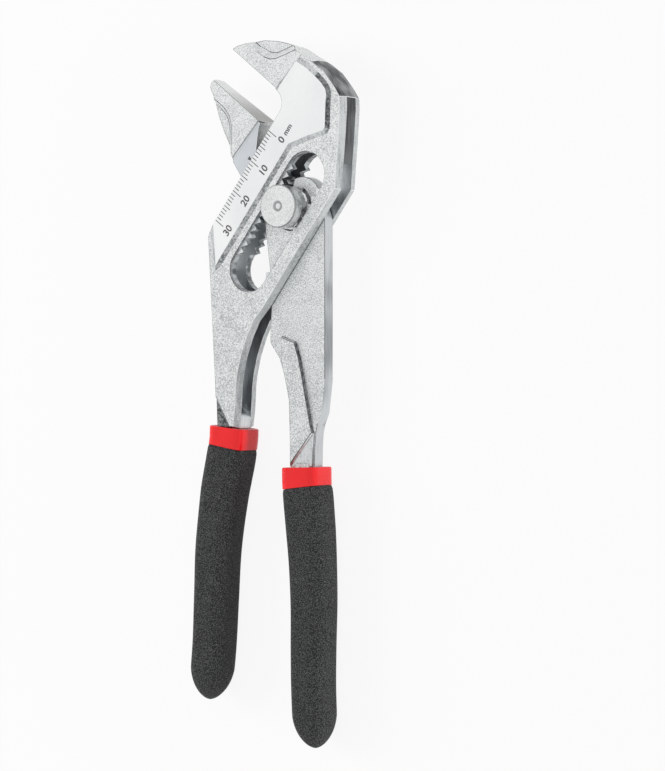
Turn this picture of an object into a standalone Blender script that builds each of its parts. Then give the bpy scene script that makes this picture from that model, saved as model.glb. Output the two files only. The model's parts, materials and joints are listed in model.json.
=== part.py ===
"""Pliers wrench of the 180 mm class, lying on its back with the ruler side up.

Two forged arms and a sliding jaw. The outer arm carries the fixed jaw, two cheeks and a slot
with a rack on each wall. A sprung pin locks in the rack at one of thirteen places. The inner
arm turns on the pin, and teeth on its head push the rack of the sliding jaw along the slot.

Inside this script the tool has its own frame: the pin axis is the origin, +Y runs to the jaws,
+X to the spine and +Z to the ruler side, with z = 0 half way through the thickness. "Along" is
the distance up the slot towards the fixed jaw, and "across" is the distance from the slot's
middle line towards the spine. Lengths are in metres.
"""
import math

import bmesh
import bpy
import numpy as np
from mathutils import Vector

# Pin positions and the rack that holds them
tooth_pitch = 0.00255
tooth_height = 0.00145
tooth_steep_share = 0.27
positions_up = 4
positions_down = 8
slot_angle = math.radians(53.3)
slot_width = 0.0127
slot_end_play = 0.0005
rack_ledge = 0.00015

# Clearances
running_gap = 0.0003
mesh_clearance = 0.0002
flank_clearance = 0.0001
overrun = 0.003

# Thickness, measured through the tool
body_thickness = 0.0100
pad_rise = 0.0005
pad_bevel = 0.0013
collar_step = 0.0006
land_thickness = 0.0043
draft_inset = 0.00057
cavity_thickness = 0.0046
rack_layer = 0.0019
lock_thickness = 0.0010
plate_thickness = 0.0040
arm_neck_thickness = 0.0060

# Jaws
jaw_closed_gap = 0.0002
jaw_length = 0.0190
fixed_jaw_height = 0.02405
jaw_root_thickness = 0.0086
jaw_tip_thickness = 0.0053
jaw_web_thickness = 0.0074
throat_radius = 0.0045
throat_depth_from_ruler = 0.0051

# Head of the outer arm
head_reach = 0.0460
ruler_rim = 0.01075
ruler_length_up = 0.0175
ruler_length_down = 0.0183
spine_rim = 0.00385
pad_border = 0.0032

# Necks and handles
outer_neck_reach = 0.0612
inner_neck_reach = 0.0720
left_handle_length = 0.0765
right_handle_length = 0.0765
tang_half_width = 0.0029
tang_half_thickness = 0.0030
sleeve_wall = 0.0010
collar_half_width = 0.0057
collar_half_thickness = 0.0053
collar_length = 0.0046
grip_half_width = 0.0060
grip_half_thickness = 0.0055
grip_nose = 0.0110
nose_cover = 0.0020

# Head of the inner arm
lobe_radius = 0.0061
lobe_centre_x = 0.0033
lobe_centre_y = 0.0022
arm_bore_radius = 0.0038
arm_open_angle = math.radians(28.0)

# Sliding jaw tail
tail_half_length = 0.0061

# Pin, its bush, ring and spring
button_radius = 0.0059
button_height = 0.0039
button_edge = 0.0003
button_dimple_radius = 0.0011
push_travel = 0.00125
lock_radius = 0.0061
core_radius = 0.0033
waist_radius = 0.0058
shaft_radius = 0.00245
shaft_engagement = 0.0003
stem_radius = 0.0011
groove_radius = 0.00075
bush_wall = 0.00075
bush_floor = 0.0006
ring_radius = 0.0025
ring_thickness = 0.00045
ring_mouth = math.radians(50.0)
spring_wire_radius = 0.00015
spring_turns = 3.0

# Outlines as shares of the reach of the piece they belong to, from the pin axis
spine_shares = [
    (0.376, 0.435), (0.385, 0.574), (0.383, 0.637), (0.350, 0.691), (0.309, 0.743),
    (0.263, 0.798), (0.187, 0.854), (0.102, 0.904), (0.039, 0.943), (-0.037, 0.970),
    (-0.109, 0.989), (-0.207, 1.000), (-0.328, 0.989), (-0.393, 0.978), (-0.430, 0.959),
]
spine_foot_share = 0.348
outer_neck_left_shares = [
    (-0.413, -0.078), (-0.431, -0.124), (-0.422, -0.273), (-0.413, -0.417),
    (-0.404, -0.598), (-0.392, -0.779), (-0.386, -0.922), (-0.384, -0.987),
]
outer_neck_right_shares = [
    (-0.292, -0.987), (-0.283, -0.922), (-0.279, -0.866), (-0.276, -0.806),
    (-0.267, -0.743), (-0.248, -0.665), (-0.217, -0.583), (-0.178, -0.505),
]
pad_shares = [
    (0.080, 0.863), (0.150, 0.820), (0.215, 0.767), (0.261, 0.724), (0.289, 0.687),
    (0.298, 0.652), (0.293, 0.613), (0.287, 0.459), (0.274, 0.443), (0.160, 0.415),
    (0.026, 0.374),
]
jaw_face_corner_shares = [(-0.098, 0.690), (0.080, 0.863), (0.150, 0.960)]
fixed_scallop_shares = [
    (-0.326, 1.200), (-0.324, 0.987), (-0.261, 0.935), (-0.187, 0.896), (-0.137, 0.883),
    (-0.093, 0.885), (-0.011, 0.911), (0.059, 0.939), (0.110, 1.200),
]
sliding_jaw_back_shares = [
    (-0.562, 0.797), (-0.590, 0.775), (-0.597, 0.752), (-0.588, 0.732), (-0.568, 0.696),
    (-0.559, 0.652), (-0.535, 0.574), (-0.497, 0.485), (-0.459, 0.409), (-0.426, 0.346),
    (-0.406, 0.311),
]
sliding_jaw_heel_shares = [(-0.408, 0.285), (-0.359, 0.211)]
jaw_web_shares = [(0.36, 0.06), (0.47, 0.24), (0.70, 0.59), (0.87, 0.82), (0.96, 0.88)]
sliding_scallop_shares = [
    (-0.800, 0.900), (-0.640, 0.790), (-0.550, 0.700), (-0.488, 0.650), (-0.457, 0.617),
    (-0.428, 0.572), (-0.415, 0.526), (-0.410, 0.478), (-0.414, 0.391), (-0.420, 0.230),
    (-0.800, 0.100),
]
arm_left_shares = [
    (-0.092, -0.033), (-0.126, -0.058), (-0.103, -0.229), (-0.095, -0.376), (-0.101, -0.500),
    (-0.099, -0.519), (-0.058, -0.575), (-0.027, -0.663), (-0.011, -0.736), (-0.006, -0.889),
    (-0.006, -1.000),
]
arm_right_shares = [
    (0.104, -1.000), (0.106, -0.915), (0.110, -0.861), (0.118, -0.825), (0.135, -0.786),
    (0.144, -0.715), (0.151, -0.653), (0.151, -0.083), (0.150, -0.047),
]
arm_raised_shares = [
    (0.024, -0.510), (-0.050, -0.486), (-0.048, -0.590), (-0.029, -0.663), (-0.013, -0.736),
    (-0.008, -0.889), (-0.008, -0.995), (0.102, -0.995), (0.104, -0.915), (0.108, -0.861),
    (0.097, -0.818), (0.081, -0.736), (0.061, -0.640), (0.046, -0.575),
]
outer_step_shares = [(-0.700, -0.735), (-0.700, -1.080), (-0.259, -1.080), (-0.451, -0.735)]
inner_step_shares = [(-0.083, -1.080), (0.300, -1.080), (0.300, -0.800), (0.147, -0.800)]
left_handle_shares = [
    (-0.338, -0.960), (-0.343, -1.000), (-0.345, -1.046), (-0.361, -1.136), (-0.381, -1.225),
    (-0.399, -1.315), (-0.430, -1.541), (-0.442, -1.765), (-0.454, -1.992), (-0.476, -2.206),
    (-0.484, -2.300),
]
right_handle_shares = [
    (0.049, -0.960), (0.050, -1.000), (0.051, -1.056), (0.058, -1.118), (0.075, -1.310),
    (0.083, -1.500), (0.081, -1.693), (0.082, -1.847), (0.092, -2.056), (0.096, -2.100),
]
grip_width_shares = [1.03, 1.07, 1.05, 1.00, 0.97, 0.94, 0.92, 0.90, 0.89, 0.88]
squareness = 3.2

# Worked out from the sizes above
slot_half = slot_width / 2
rack_root = slot_half - rack_ledge
rack_tip = rack_root - tooth_height
pitch_radius = (rack_root + rack_tip) / 2
travel_up = positions_up * tooth_pitch
travel_down = positions_down * tooth_pitch
jaw_gap = travel_up + jaw_closed_gap
sliding_jaw_height = fixed_jaw_height - jaw_gap
jaw_opening = pitch_radius * arm_open_angle
half_body = body_thickness / 2
half_pad = half_body + pad_rise
half_land = land_thickness / 2
half_cavity = cavity_thickness / 2
half_plate = plate_thickness / 2
rack_outer = half_cavity + rack_layer
ruler_edge = -(slot_half + ruler_rim)
jaw_inner_end = ruler_edge - throat_depth_from_ruler
jaw_outer_end = jaw_inner_end - jaw_length


def place(along, across):
    """Point in the tool's frame at a distance along the slot and across it."""
    return (
        along * math.cos(slot_angle) + across * math.sin(slot_angle),
        along * math.sin(slot_angle) - across * math.cos(slot_angle),
    )


def along_across(x, y):
    """Distances along and across the slot of a point in the tool's frame."""
    along = x * math.cos(slot_angle) + y * math.sin(slot_angle)
    across = x * math.sin(slot_angle) - y * math.cos(slot_angle)
    return along, across


def scaled(shares, reach):
    """Outline points from shares of a reach."""
    return [(x * reach, y * reach) for x, y in shares]


def arc(centre, radius, start, end, steps):
    """Points of an arc, with both ends."""
    angles = np.linspace(start, end, steps + 1)
    return [(centre[0] + radius * math.cos(a), centre[1] + radius * math.sin(a)) for a in angles]


def remove_everything():
    """Empty the scene."""
    for item in list(bpy.data.objects):
        bpy.data.objects.remove(item, do_unlink=True)


def material(name, colour, roughness, metallic):
    """Principled material of one finish."""
    finish = bpy.data.materials.new(name)
    finish.use_nodes = True
    shader = finish.node_tree.nodes["Principled BSDF"]
    shader.inputs["Base Color"].default_value = (*colour, 1.0)
    shader.inputs["Roughness"].default_value = roughness
    shader.inputs["Metallic"].default_value = metallic
    finish.diffuse_color = (*colour, 1.0)
    return finish


def new_object(name, vertices, faces):
    """Object of one closed body, with its faces turned outwards."""
    mesh = bpy.data.meshes.new(name)
    mesh.from_pydata([tuple(float(c) for c in v) for v in vertices], [], faces)
    shape = bmesh.new()
    shape.from_mesh(mesh)
    bmesh.ops.recalc_face_normals(shape, faces=shape.faces)
    shape.to_mesh(mesh)
    shape.free()
    body = bpy.data.objects.new(name, mesh)
    bpy.context.scene.collection.objects.link(body)
    return body


def stacked(name, rings):
    """Closed body through rings of points with equal counts, capped at both ends."""
    count = len(rings[0])
    vertices = [point for ring in rings for point in ring]
    faces = [list(range(count))[::-1]]
    for level in range(len(rings) - 1):
        low, high = level * count, (level + 1) * count
        for i in range(count):
            j = (i + 1) % count
            faces.append([low + i, low + j, high + j, high + i])
    top = (len(rings) - 1) * count
    faces.append(list(range(top, top + count)))
    return new_object(name, vertices, faces)


def inset_outline(outline, inset):
    """Outline moved inwards by an inset, with mitred corners. It runs anticlockwise."""
    points = np.array(outline, dtype=float)
    ahead = np.roll(points, -1, axis=0) - points
    ahead /= np.linalg.norm(ahead, axis=1)[:, None]
    behind = np.roll(ahead, 1, axis=0)
    inward = np.stack([-(ahead + behind)[:, 1], (ahead + behind)[:, 0]], axis=1)
    spread = np.maximum((inward ** 2).sum(axis=1) / 2, 0.5)
    return points + inset * inward / spread[:, None]


def slab(name, outline, levels, height_at=None):
    """Body of an outline through levels of (height, inset), as a drafted forging has.

    height_at gives a factor on the height for each point, for faces that taper.
    """
    rings = []
    for height, inset in levels:
        points = inset_outline(outline, inset)
        factor = [1.0 if height_at is None else height_at(x, y) for x, y in points]
        rings.append([(x, y, height * f) for (x, y), f in zip(points, factor)])
    return stacked(name, rings)


def prism(name, outline, low, high):
    """Straight body of an outline between two heights."""
    return slab(name, outline, [(low, 0.0), (high, 0.0)])


def turned(name, profile, steps=40):
    """Body turned about the pin axis from a profile of (radius, height) points.

    A profile whose first and last radius are zero is closed on the axis, any other is a ring.
    """
    vertices, faces, rings = [], [], []
    for radius, height in profile:
        if radius == 0:
            rings.append([len(vertices)])
            vertices.append((0.0, 0.0, height))
            continue
        rings.append(list(range(len(vertices), len(vertices) + steps)))
        for k in range(steps):
            angle = 2 * math.pi * k / steps
            vertices.append((radius * math.cos(angle), radius * math.sin(angle), height))
    pairs = list(zip(rings, rings[1:]))
    if profile[0][0] > 0:
        pairs.append((rings[-1], rings[0]))
    for one, two in pairs:
        for k in range(steps):
            j = (k + 1) % steps
            loop = [one[k % len(one)], one[j % len(one)], two[j % len(two)], two[k % len(two)]]
            face = list(dict.fromkeys(loop))
            if len(face) > 2:
                faces.append(face)
    return new_object(name, vertices, faces)


def combine(target, other, operation):
    """Exact Boolean of two objects, kept in the first; the second is used up."""
    step = target.modifiers.new(operation, "BOOLEAN")
    step.operation = operation
    step.solver = "EXACT"
    step.object = other
    shown = target.evaluated_get(bpy.context.evaluated_depsgraph_get())
    mesh = bpy.data.meshes.new_from_object(shown)
    target.modifiers.clear()
    target.data = mesh
    bpy.data.objects.remove(other, do_unlink=True)
    return target


def cut(target, cutter):
    """Take a cutter out of a body."""
    return combine(target, cutter, "DIFFERENCE")


def join(target, other):
    """Make two overlapping bodies one."""
    return combine(target, other, "UNION")


def finish(body, look, sharp_degrees=30.0):
    """Weld, give the material and shade a body."""
    shape = bmesh.new()
    shape.from_mesh(body.data)
    bmesh.ops.remove_doubles(shape, verts=shape.verts, dist=running_gap / 300)
    bmesh.ops.dissolve_degenerate(shape, edges=shape.edges, dist=running_gap / 300)
    bmesh.ops.triangulate(shape, faces=[f for f in shape.faces if len(f.verts) > 4])
    bmesh.ops.recalc_face_normals(shape, faces=shape.faces)
    shape.to_mesh(body.data)
    shape.free()
    body.data.materials.clear()
    body.data.materials.append(look)
    for face in body.data.polygons:
        face.material_index = 0
    body.data.shade_smooth()
    body.data.set_sharp_from_angle(angle=math.radians(sharp_degrees))
    return body


def rack_depth(along):
    """Distance from the slot's middle line to the toothed wall, at places along the slot.

    Going up the slot, each tooth rises slowly from its root to its tip and falls back steeply,
    so the steep flanks face the fixed jaw and hold the pin against the load.
    """
    turn = np.mod(np.asarray(along, dtype=float) / tooth_pitch, 1.0)
    slow = 1.0 - tooth_steep_share
    climb = np.where(turn < slow, turn / slow, (1.0 - turn) / tooth_steep_share)
    return rack_root - tooth_height * climb


def rack_points(low, high):
    """Corners of the whole teeth between two places along the slot, as (along, depth)."""
    points = [(low, rack_root)]
    first = math.ceil(low / tooth_pitch)
    last = math.floor(high / tooth_pitch)
    for tooth in range(first, last):
        points.append((tooth * tooth_pitch, rack_root))
        points.append(((tooth + 1 - tooth_steep_share) * tooth_pitch, rack_tip))
    points.append((last * tooth_pitch, rack_root))
    points.append((high, rack_root))
    clean = [points[0]]
    for point in points[1:]:
        if point[0] - clean[-1][0] > flank_clearance:
            clean.append(point)
    return clean


def fitted_depth(along):
    """Depth that a tooth meshing with the rack may reach, with its clearance all round."""
    beside = [rack_depth(along + shift) for shift in (-flank_clearance, 0, flank_clearance)]
    return np.min(beside, axis=0) - mesh_clearance


def slot_outline(half_width, toothed):
    """Slot with round ends, either smooth or with a rack down both walls."""
    low, high = -travel_down - slot_end_play, travel_up + slot_end_play
    wall = rack_points(low, high) if toothed else [(low, half_width), (high, half_width)]
    outline = [place(u, d) for u, d in wall]
    upper = np.linspace(0, math.pi, 13)[1:-1]
    outline += [place(high + half_width * math.sin(a), half_width * math.cos(a)) for a in upper]
    outline += [place(u, -d) for u, d in wall[::-1]]
    outline += [place(low - half_width * math.sin(a), -half_width * math.cos(a)) for a in upper]
    return outline


def sector_radius(turn):
    """Radius of the inner arm's toothed head at an angle from the line to the rack.

    The rack is rolled past the head through the arm's whole swing and beyond, and what it never
    sweeps is left standing, as a gear shaper would cut it.
    """
    rolls = np.linspace(-math.radians(75), math.radians(75), 301)
    radii = np.linspace(rack_tip - tooth_height, rack_root, 161)
    facing = turn + rolls[:, None]
    along = -radii[None, :] * np.sin(facing) + pitch_radius * rolls[:, None]
    blocked = radii[None, :] * np.cos(facing) > fitted_depth(along)
    blocked &= np.cos(facing) > 0.3
    first = np.where(blocked.any(axis=0))[0]
    return radii[first[0]] if len(first) else radii[-1]


def cavity_outline():
    """Pocket between the cheeks: channel of the jaw's tail, swing of the head, and the heel.

    Its places follow the moving pieces at the ends of their travel, with the running gap.
    """
    tail_top = travel_up + tail_half_length + 2 * running_gap
    tail_foot = -travel_down - jaw_opening - tail_half_length - 2 * running_gap
    sweep = math.hypot(lobe_centre_x, lobe_centre_y) + lobe_radius + running_gap
    top_pin = place(travel_up, 0)
    low_pin = place(-travel_down, 0)
    reach_up = tail_top - travel_up
    meeting = math.asin(reach_up / sweep)
    start, end = slot_angle + math.pi / 2 - meeting, math.radians(24)
    outline = arc(top_pin, sweep, start, end, 10)[::-1]
    outline += [place(tail_top, ruler_edge - head_reach)]
    outline += [place(tail_foot + pad_border * 1.2, ruler_edge - pad_border * 4)]
    outline += [place(tail_foot, -rack_tip)]
    gap = 2 * running_gap
    for share in arm_left_shares[2:8]:
        x, y = share[0] * inner_neck_reach, share[1] * inner_neck_reach
        outline.append((low_pin[0] + x - gap, low_pin[1] + y))
    outline.append((low_pin[0] + arm_left_shares[8][0] * inner_neck_reach + overrun, outline[-1][1]))
    outline.append((head_reach, outline[-1][1]))
    outline.append((head_reach, top_pin[1] + sweep * 0.24))
    outline.append((top_pin[0] + sweep * 1.16, top_pin[1] + sweep * 0.24))
    return outline


def outer_outline():
    """Front outline of the outer arm, left a little full where the jaw and ruler are ground."""
    spare = running_gap * 3
    outline = [
        place(fixed_jaw_height - spare, jaw_outer_end),
        place(fixed_jaw_height - spare, jaw_inner_end),
        place(ruler_length_up, ruler_edge - spare),
    ]
    outline += scaled(outer_neck_left_shares, outer_neck_reach)
    outline += scaled(outer_neck_right_shares, outer_neck_reach)
    spine_edge = slot_half + spine_rim
    foot = spine_foot_share * head_reach
    foot_along = (foot - spine_edge * math.sin(slot_angle)) / math.cos(slot_angle)
    start = -outer_neck_reach * 0.44
    outline += [place(start, spine_edge), place(foot_along, spine_edge)]
    outline += scaled(spine_shares, head_reach)
    return outline


def mouth_outline():
    """What is ground away between the jaws: gripping face, round throat and ruler edge.

    The ruler edge runs on to where the sliding jaw's heel comes at the lowest place.
    """
    throat = (fixed_jaw_height - throat_radius, jaw_inner_end + throat_radius * 0.15)
    foot = -travel_down - tail_half_length
    outline = [place(fixed_jaw_height, jaw_outer_end - head_reach)]
    outline += [place(foot, jaw_outer_end - head_reach)]
    outline += [place(foot, ruler_edge), place(ruler_length_up, ruler_edge)]
    for angle in np.linspace(math.radians(88), 0, 9):
        step = throat_radius * math.cos(angle), throat_radius * math.sin(angle)
        outline.append(place(throat[0] + step[0], throat[1] + step[1]))
    return outline


def pad_outline():
    """Raised smooth pad of the head, with the ruler along its left border."""
    border = -(slot_half + pad_border)
    lower = -ruler_length_down - pad_border * 2
    return scaled(pad_shares, head_reach) + [
        place(ruler_length_down * 0.41, border),
        place(lower, border),
        place(lower - pad_border * 0.6, border + pad_border * 0.05),
        place(-ruler_length_down + running_gap, ruler_edge + running_gap),
        place(-ruler_length_down + running_gap, ruler_edge - overrun),
        place(ruler_length_up, ruler_edge - overrun),
        place(fixed_jaw_height + overrun * 0.45, jaw_inner_end + overrun * 0.3),
    ]


def mirrored_pair(build):
    """The same cutter or pad for the ruler side and the back, made by a function of the side."""
    return [build(side) for side in (1, -1)]


def jaw_taper(x, y):
    """Thickness of a jaw as a factor of its root thickness: thinner towards the tip."""
    share = (jaw_inner_end - along_across(x, y)[1]) / jaw_length
    return 1.0 + share * (jaw_tip_thickness / jaw_root_thickness - 1.0)


def scallop(side, outline, name):
    """Hollow forged into a jaw's cheek, with a sloping wall up to the jaw's flat."""
    deep = jaw_tip_thickness / 2 - pad_rise * 2
    shallow = jaw_root_thickness / 2 + pad_rise
    levels = [(side * deep, overrun * 0.75), (side * shallow, -overrun * 0.2),
              (side * (half_pad + overrun), -overrun * 0.2)]
    return slab(name, outline, levels)


def neck_step(side, shares, reach, half_thickness):
    """Corner of a neck beside its collar, lower than the neck's face, with a sloping wall."""
    low = half_thickness - collar_step
    levels = [(side * low, collar_step), (side * half_thickness, 0.0),
              (side * (half_thickness + overrun), -overrun)]
    return slab("neck_step", scaled(shares, reach), levels)


def section(centre, tangent, half_width, half_thickness, points):
    """Rounded square section across a handle, as a superellipse."""
    normal = Vector((-tangent[1], tangent[0], 0.0))
    ring = []
    for k in range(points):
        angle = 2 * math.pi * k / points
        c, s = math.cos(angle), math.sin(angle)
        across = half_width * math.copysign(abs(c) ** (2 / squareness), c)
        up = half_thickness * math.copysign(abs(s) ** (2 / squareness), s)
        ring.append((centre[0] + normal.x * across, centre[1] + normal.y * across, up))
    return ring


class Handle:
    """Curved middle line of a handle and the layers round it."""

    def __init__(self, shares, reach, length):
        """Smooth line through the shares, measured from the shoulder of the neck."""
        knots = np.array(shares) * reach
        knots = np.vstack([knots, knots[-1] + 3 * (knots[-1] - knots[-2])])
        fine = []
        for i in range(len(knots) - 1):
            before, after = knots[max(i - 1, 0)], knots[min(i + 2, len(knots) - 1)]
            for t in np.linspace(0, 1, 9)[:-1]:
                fine.append(0.5 * (
                    2 * knots[i] + (knots[i + 1] - before) * t
                    + (2 * before - 5 * knots[i] + 4 * knots[i + 1] - after) * t ** 2
                    + (3 * knots[i] - before - 3 * knots[i + 1] + after) * t ** 3))
        self.line = np.array(fine + [knots[-1]])
        steps = np.linalg.norm(np.diff(self.line, axis=0), axis=1)
        self.run = np.concatenate([[0.0], np.cumsum(steps)])
        self.run -= np.interp(reach, -self.line[:, 1], self.run)
        self.length = length

    def at(self, distance):
        """Point and direction of the middle line at a distance below the shoulder."""
        def point(d):
            return np.array([np.interp(d, self.run, self.line[:, k]) for k in range(2)])
        ahead = point(distance + grip_nose / 20) - point(distance - grip_nose / 20)
        return point(distance), ahead / np.linalg.norm(ahead)

    def rings(self, start, end, half_width, half_thickness, count, shoulder=None):
        """Sections from start to end, closing to a round nose at the end.

        shoulder is (length, half width, half thickness) of a fuller first stretch.
        """
        nose = min(grip_nose, (end - start) * 0.5)
        stations = list(np.linspace(start, end - nose, count))
        widths = [np.interp(d / self.length, np.linspace(0, 1, len(grip_width_shares)),
                            grip_width_shares) for d in stations]
        scales = [(w, 1.0) for w in widths]
        for angle in np.linspace(0, math.pi / 2, 6)[1:-1]:
            stations.append(end - nose + nose * math.sin(angle))
            scales.append((widths[-1] * math.cos(angle), math.cos(angle)))
        stations.append(end - nose * 0.008)
        scales.append((widths[-1] * 0.12, 0.12))
        sizes = [(half_width * w, half_thickness * t) for w, t in scales]
        if shoulder:
            length, wide, thick = shoulder
            body = [(d, s) for d, s in zip(stations, sizes) if d > start + length * 1.1]
            stations = [start, start + length, start + length] + [d for d, _ in body]
            first = body[0][1]
            sizes = [(wide * 0.97, thick * 0.97), (wide, thick), first] + [s for _, s in body]
            stations[2] += running_gap
        out = []
        for distance, (wide, thick) in zip(stations, sizes):
            centre, tangent = self.at(distance)
            out.append(section(centre, tangent, wide, thick, 20))
        return out

    def shell(self, name, outer, inner):
        """Cup between outer and inner sections, open at the top."""
        count = len(outer[0])
        vertices = [p for ring in outer + inner for p in ring]
        outer_start, inner_start = 0, len(outer) * count
        faces = []
        for base, rings in ((outer_start, outer), (inner_start, inner)):
            for level in range(len(rings) - 1):
                low, high = base + level * count, base + (level + 1) * count
                for i in range(count):
                    j = (i + 1) % count
                    faces.append([low + i, low + j, high + j, high + i])
            last = base + (len(rings) - 1) * count
            faces.append(list(range(last, last + count)))
        for i in range(count):
            j = (i + 1) % count
            faces.append([outer_start + i, outer_start + j, inner_start + j, inner_start + i])
        return new_object(name, vertices, faces)

    def tang(self, name):
        """Steel core inside the sleeve, reaching up into the neck."""
        end = self.length - grip_nose + nose_cover
        rings = self.rings(-overrun * 0.6, end, tang_half_width, tang_half_thickness, 10)
        return stacked(name, rings)

    def sleeve(self, name):
        """Red inner sleeve: a full collar at the top and a thin tube below it."""
        inside = tang_half_width + running_gap, tang_half_thickness + running_gap
        outside = inside[0] + sleeve_wall, inside[1] + sleeve_wall
        tang_end = self.length - grip_nose + nose_cover
        inner_end = tang_end + running_gap
        outer_end = inner_end + sleeve_wall
        shoulder = (collar_length, collar_half_width, collar_half_thickness)
        outer = self.rings(running_gap, outer_end, *outside, 10, shoulder)
        inner = self.rings(running_gap, inner_end, *inside, 10)
        return self.shell(name, outer, inner)

    def grip(self, name):
        """Black outer grip over the sleeve, starting below the collar."""
        inside = [size + sleeve_wall + 2 * running_gap
                  for size in (tang_half_width, tang_half_thickness)]
        sleeve_end = self.length - grip_nose + nose_cover + running_gap + sleeve_wall
        start = running_gap * 2 + collar_length + running_gap
        outer = self.rings(start, self.length, grip_half_width, grip_half_thickness, 14)
        inner = self.rings(start, sleeve_end + running_gap, *inside, 10)
        return self.shell(name, outer, inner)


def outer_arm(handle, look):
    """Forged outer arm with the fixed jaw, two cheeks, toothed slot and neck."""
    levels = [(-half_body, 0.0), (-half_land, -draft_inset),
              (half_land, -draft_inset), (half_body, 0.0)]
    body = slab("outer_arm", outer_outline(), levels)

    def pad(side):
        sunk = pad_rise * 0.2
        levels = [(side * (half_body - sunk), -pad_bevel * (pad_rise + sunk) / pad_rise),
                  (side * half_pad, 0.0)]
        return slab("pad", pad_outline()[::-1], levels)

    for piece in mirrored_pair(pad):
        join(body, piece)
    jaw_zone = [
        place(fixed_jaw_height - overrun, jaw_outer_end - overrun),
        *scaled(jaw_face_corner_shares, head_reach),
        (jaw_face_corner_shares[2][0] * head_reach, head_reach + overrun),
        (spine_shares[-1][0] * head_reach - overrun, head_reach + overrun),
    ]

    def jaw_flat(side):
        full = jaw_root_thickness / 2
        rings = []
        for height, inset in ((full, 0.0), (full * 2.6, -overrun * 0.25)):
            points = inset_outline(jaw_zone, inset)
            rings.append([(x, y, side * height * jaw_taper(x, y)) for x, y in points])
        return stacked("jaw_flat", rings)

    for cutter in mirrored_pair(jaw_flat):
        cut(body, cutter)
    hollow = scaled(fixed_scallop_shares, head_reach)
    for cutter in mirrored_pair(lambda side: scallop(side, hollow, "scallop")):
        cut(body, cutter)
    for cutter in mirrored_pair(lambda side: neck_step(
            side, outer_step_shares, outer_neck_reach, half_body)):
        cut(body, cutter)
    join(body, handle.tang("tang"))
    cut(body, prism("mouth", mouth_outline(), -half_pad - overrun, half_pad + overrun))
    cut(body, prism("toothed_slot", slot_outline(rack_root, True),
                    -half_pad - overrun, half_pad + overrun))
    for low, high in ((rack_outer, half_pad + overrun), (-half_pad - overrun, -rack_outer)):
        cut(body, prism("smooth_slot", slot_outline(slot_half, False), low, high))
    cut(body, prism("cavity", cavity_outline(), -half_cavity, half_cavity))
    return finish(body, look)


def inner_arm(handle, look):
    """Forged inner arm: bored and toothed head, flat plate and thicker neck."""
    to_rack = slot_angle + math.pi / 2
    outline = arc((lobe_centre_x, lobe_centre_y), lobe_radius, math.radians(-8),
                  math.radians(112), 12)
    first, last = math.radians(-58), math.radians(30)
    for turn in np.linspace(first, last, 53):
        radius = sector_radius(turn)
        outline.append((radius * math.cos(to_rack + turn), radius * math.sin(to_rack + turn)))
    outline += scaled(arm_left_shares, inner_neck_reach)
    outline += scaled(arm_right_shares, inner_neck_reach)
    body = prism("inner_arm", outline, -half_plate, half_plate)
    raised = scaled(arm_raised_shares, inner_neck_reach)[::-1]
    raised = raised if signed_area(raised) > 0 else raised[::-1]
    half_neck = arm_neck_thickness / 2
    levels = [(-half_neck, draft_inset), (-half_plate * 0.5, 0.0),
              (half_plate * 0.5, 0.0), (half_neck, draft_inset)]
    join(body, slab("raised_neck", raised, levels))
    for cutter in mirrored_pair(lambda side: neck_step(
            side, inner_step_shares, inner_neck_reach, half_neck)):
        cut(body, cutter)
    join(body, handle.tang("tang"))
    cut(body, turned("bore", [(0, -half_neck), (arm_bore_radius, -half_neck),
                              (arm_bore_radius, half_neck), (0, half_neck)]))
    pocket_floor = half_cavity + flank_clearance - push_travel - running_gap
    spine_side = slot_angle - math.pi / 2
    span = math.pi / 2
    pocket = arc((0, 0), lock_radius + running_gap, spine_side - span - arm_open_angle,
                 spine_side + span, 24)
    cut(body, prism("lock_pocket", pocket + [(0, 0)], pocket_floor, half_neck))
    return finish(body, look)


def signed_area(outline):
    """Area of an outline, positive when it runs anticlockwise."""
    points = np.array(outline)
    ahead = np.roll(points, -1, axis=0)
    return 0.5 * float((points[:, 0] * ahead[:, 1] - points[:, 1] * ahead[:, 0]).sum())


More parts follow.
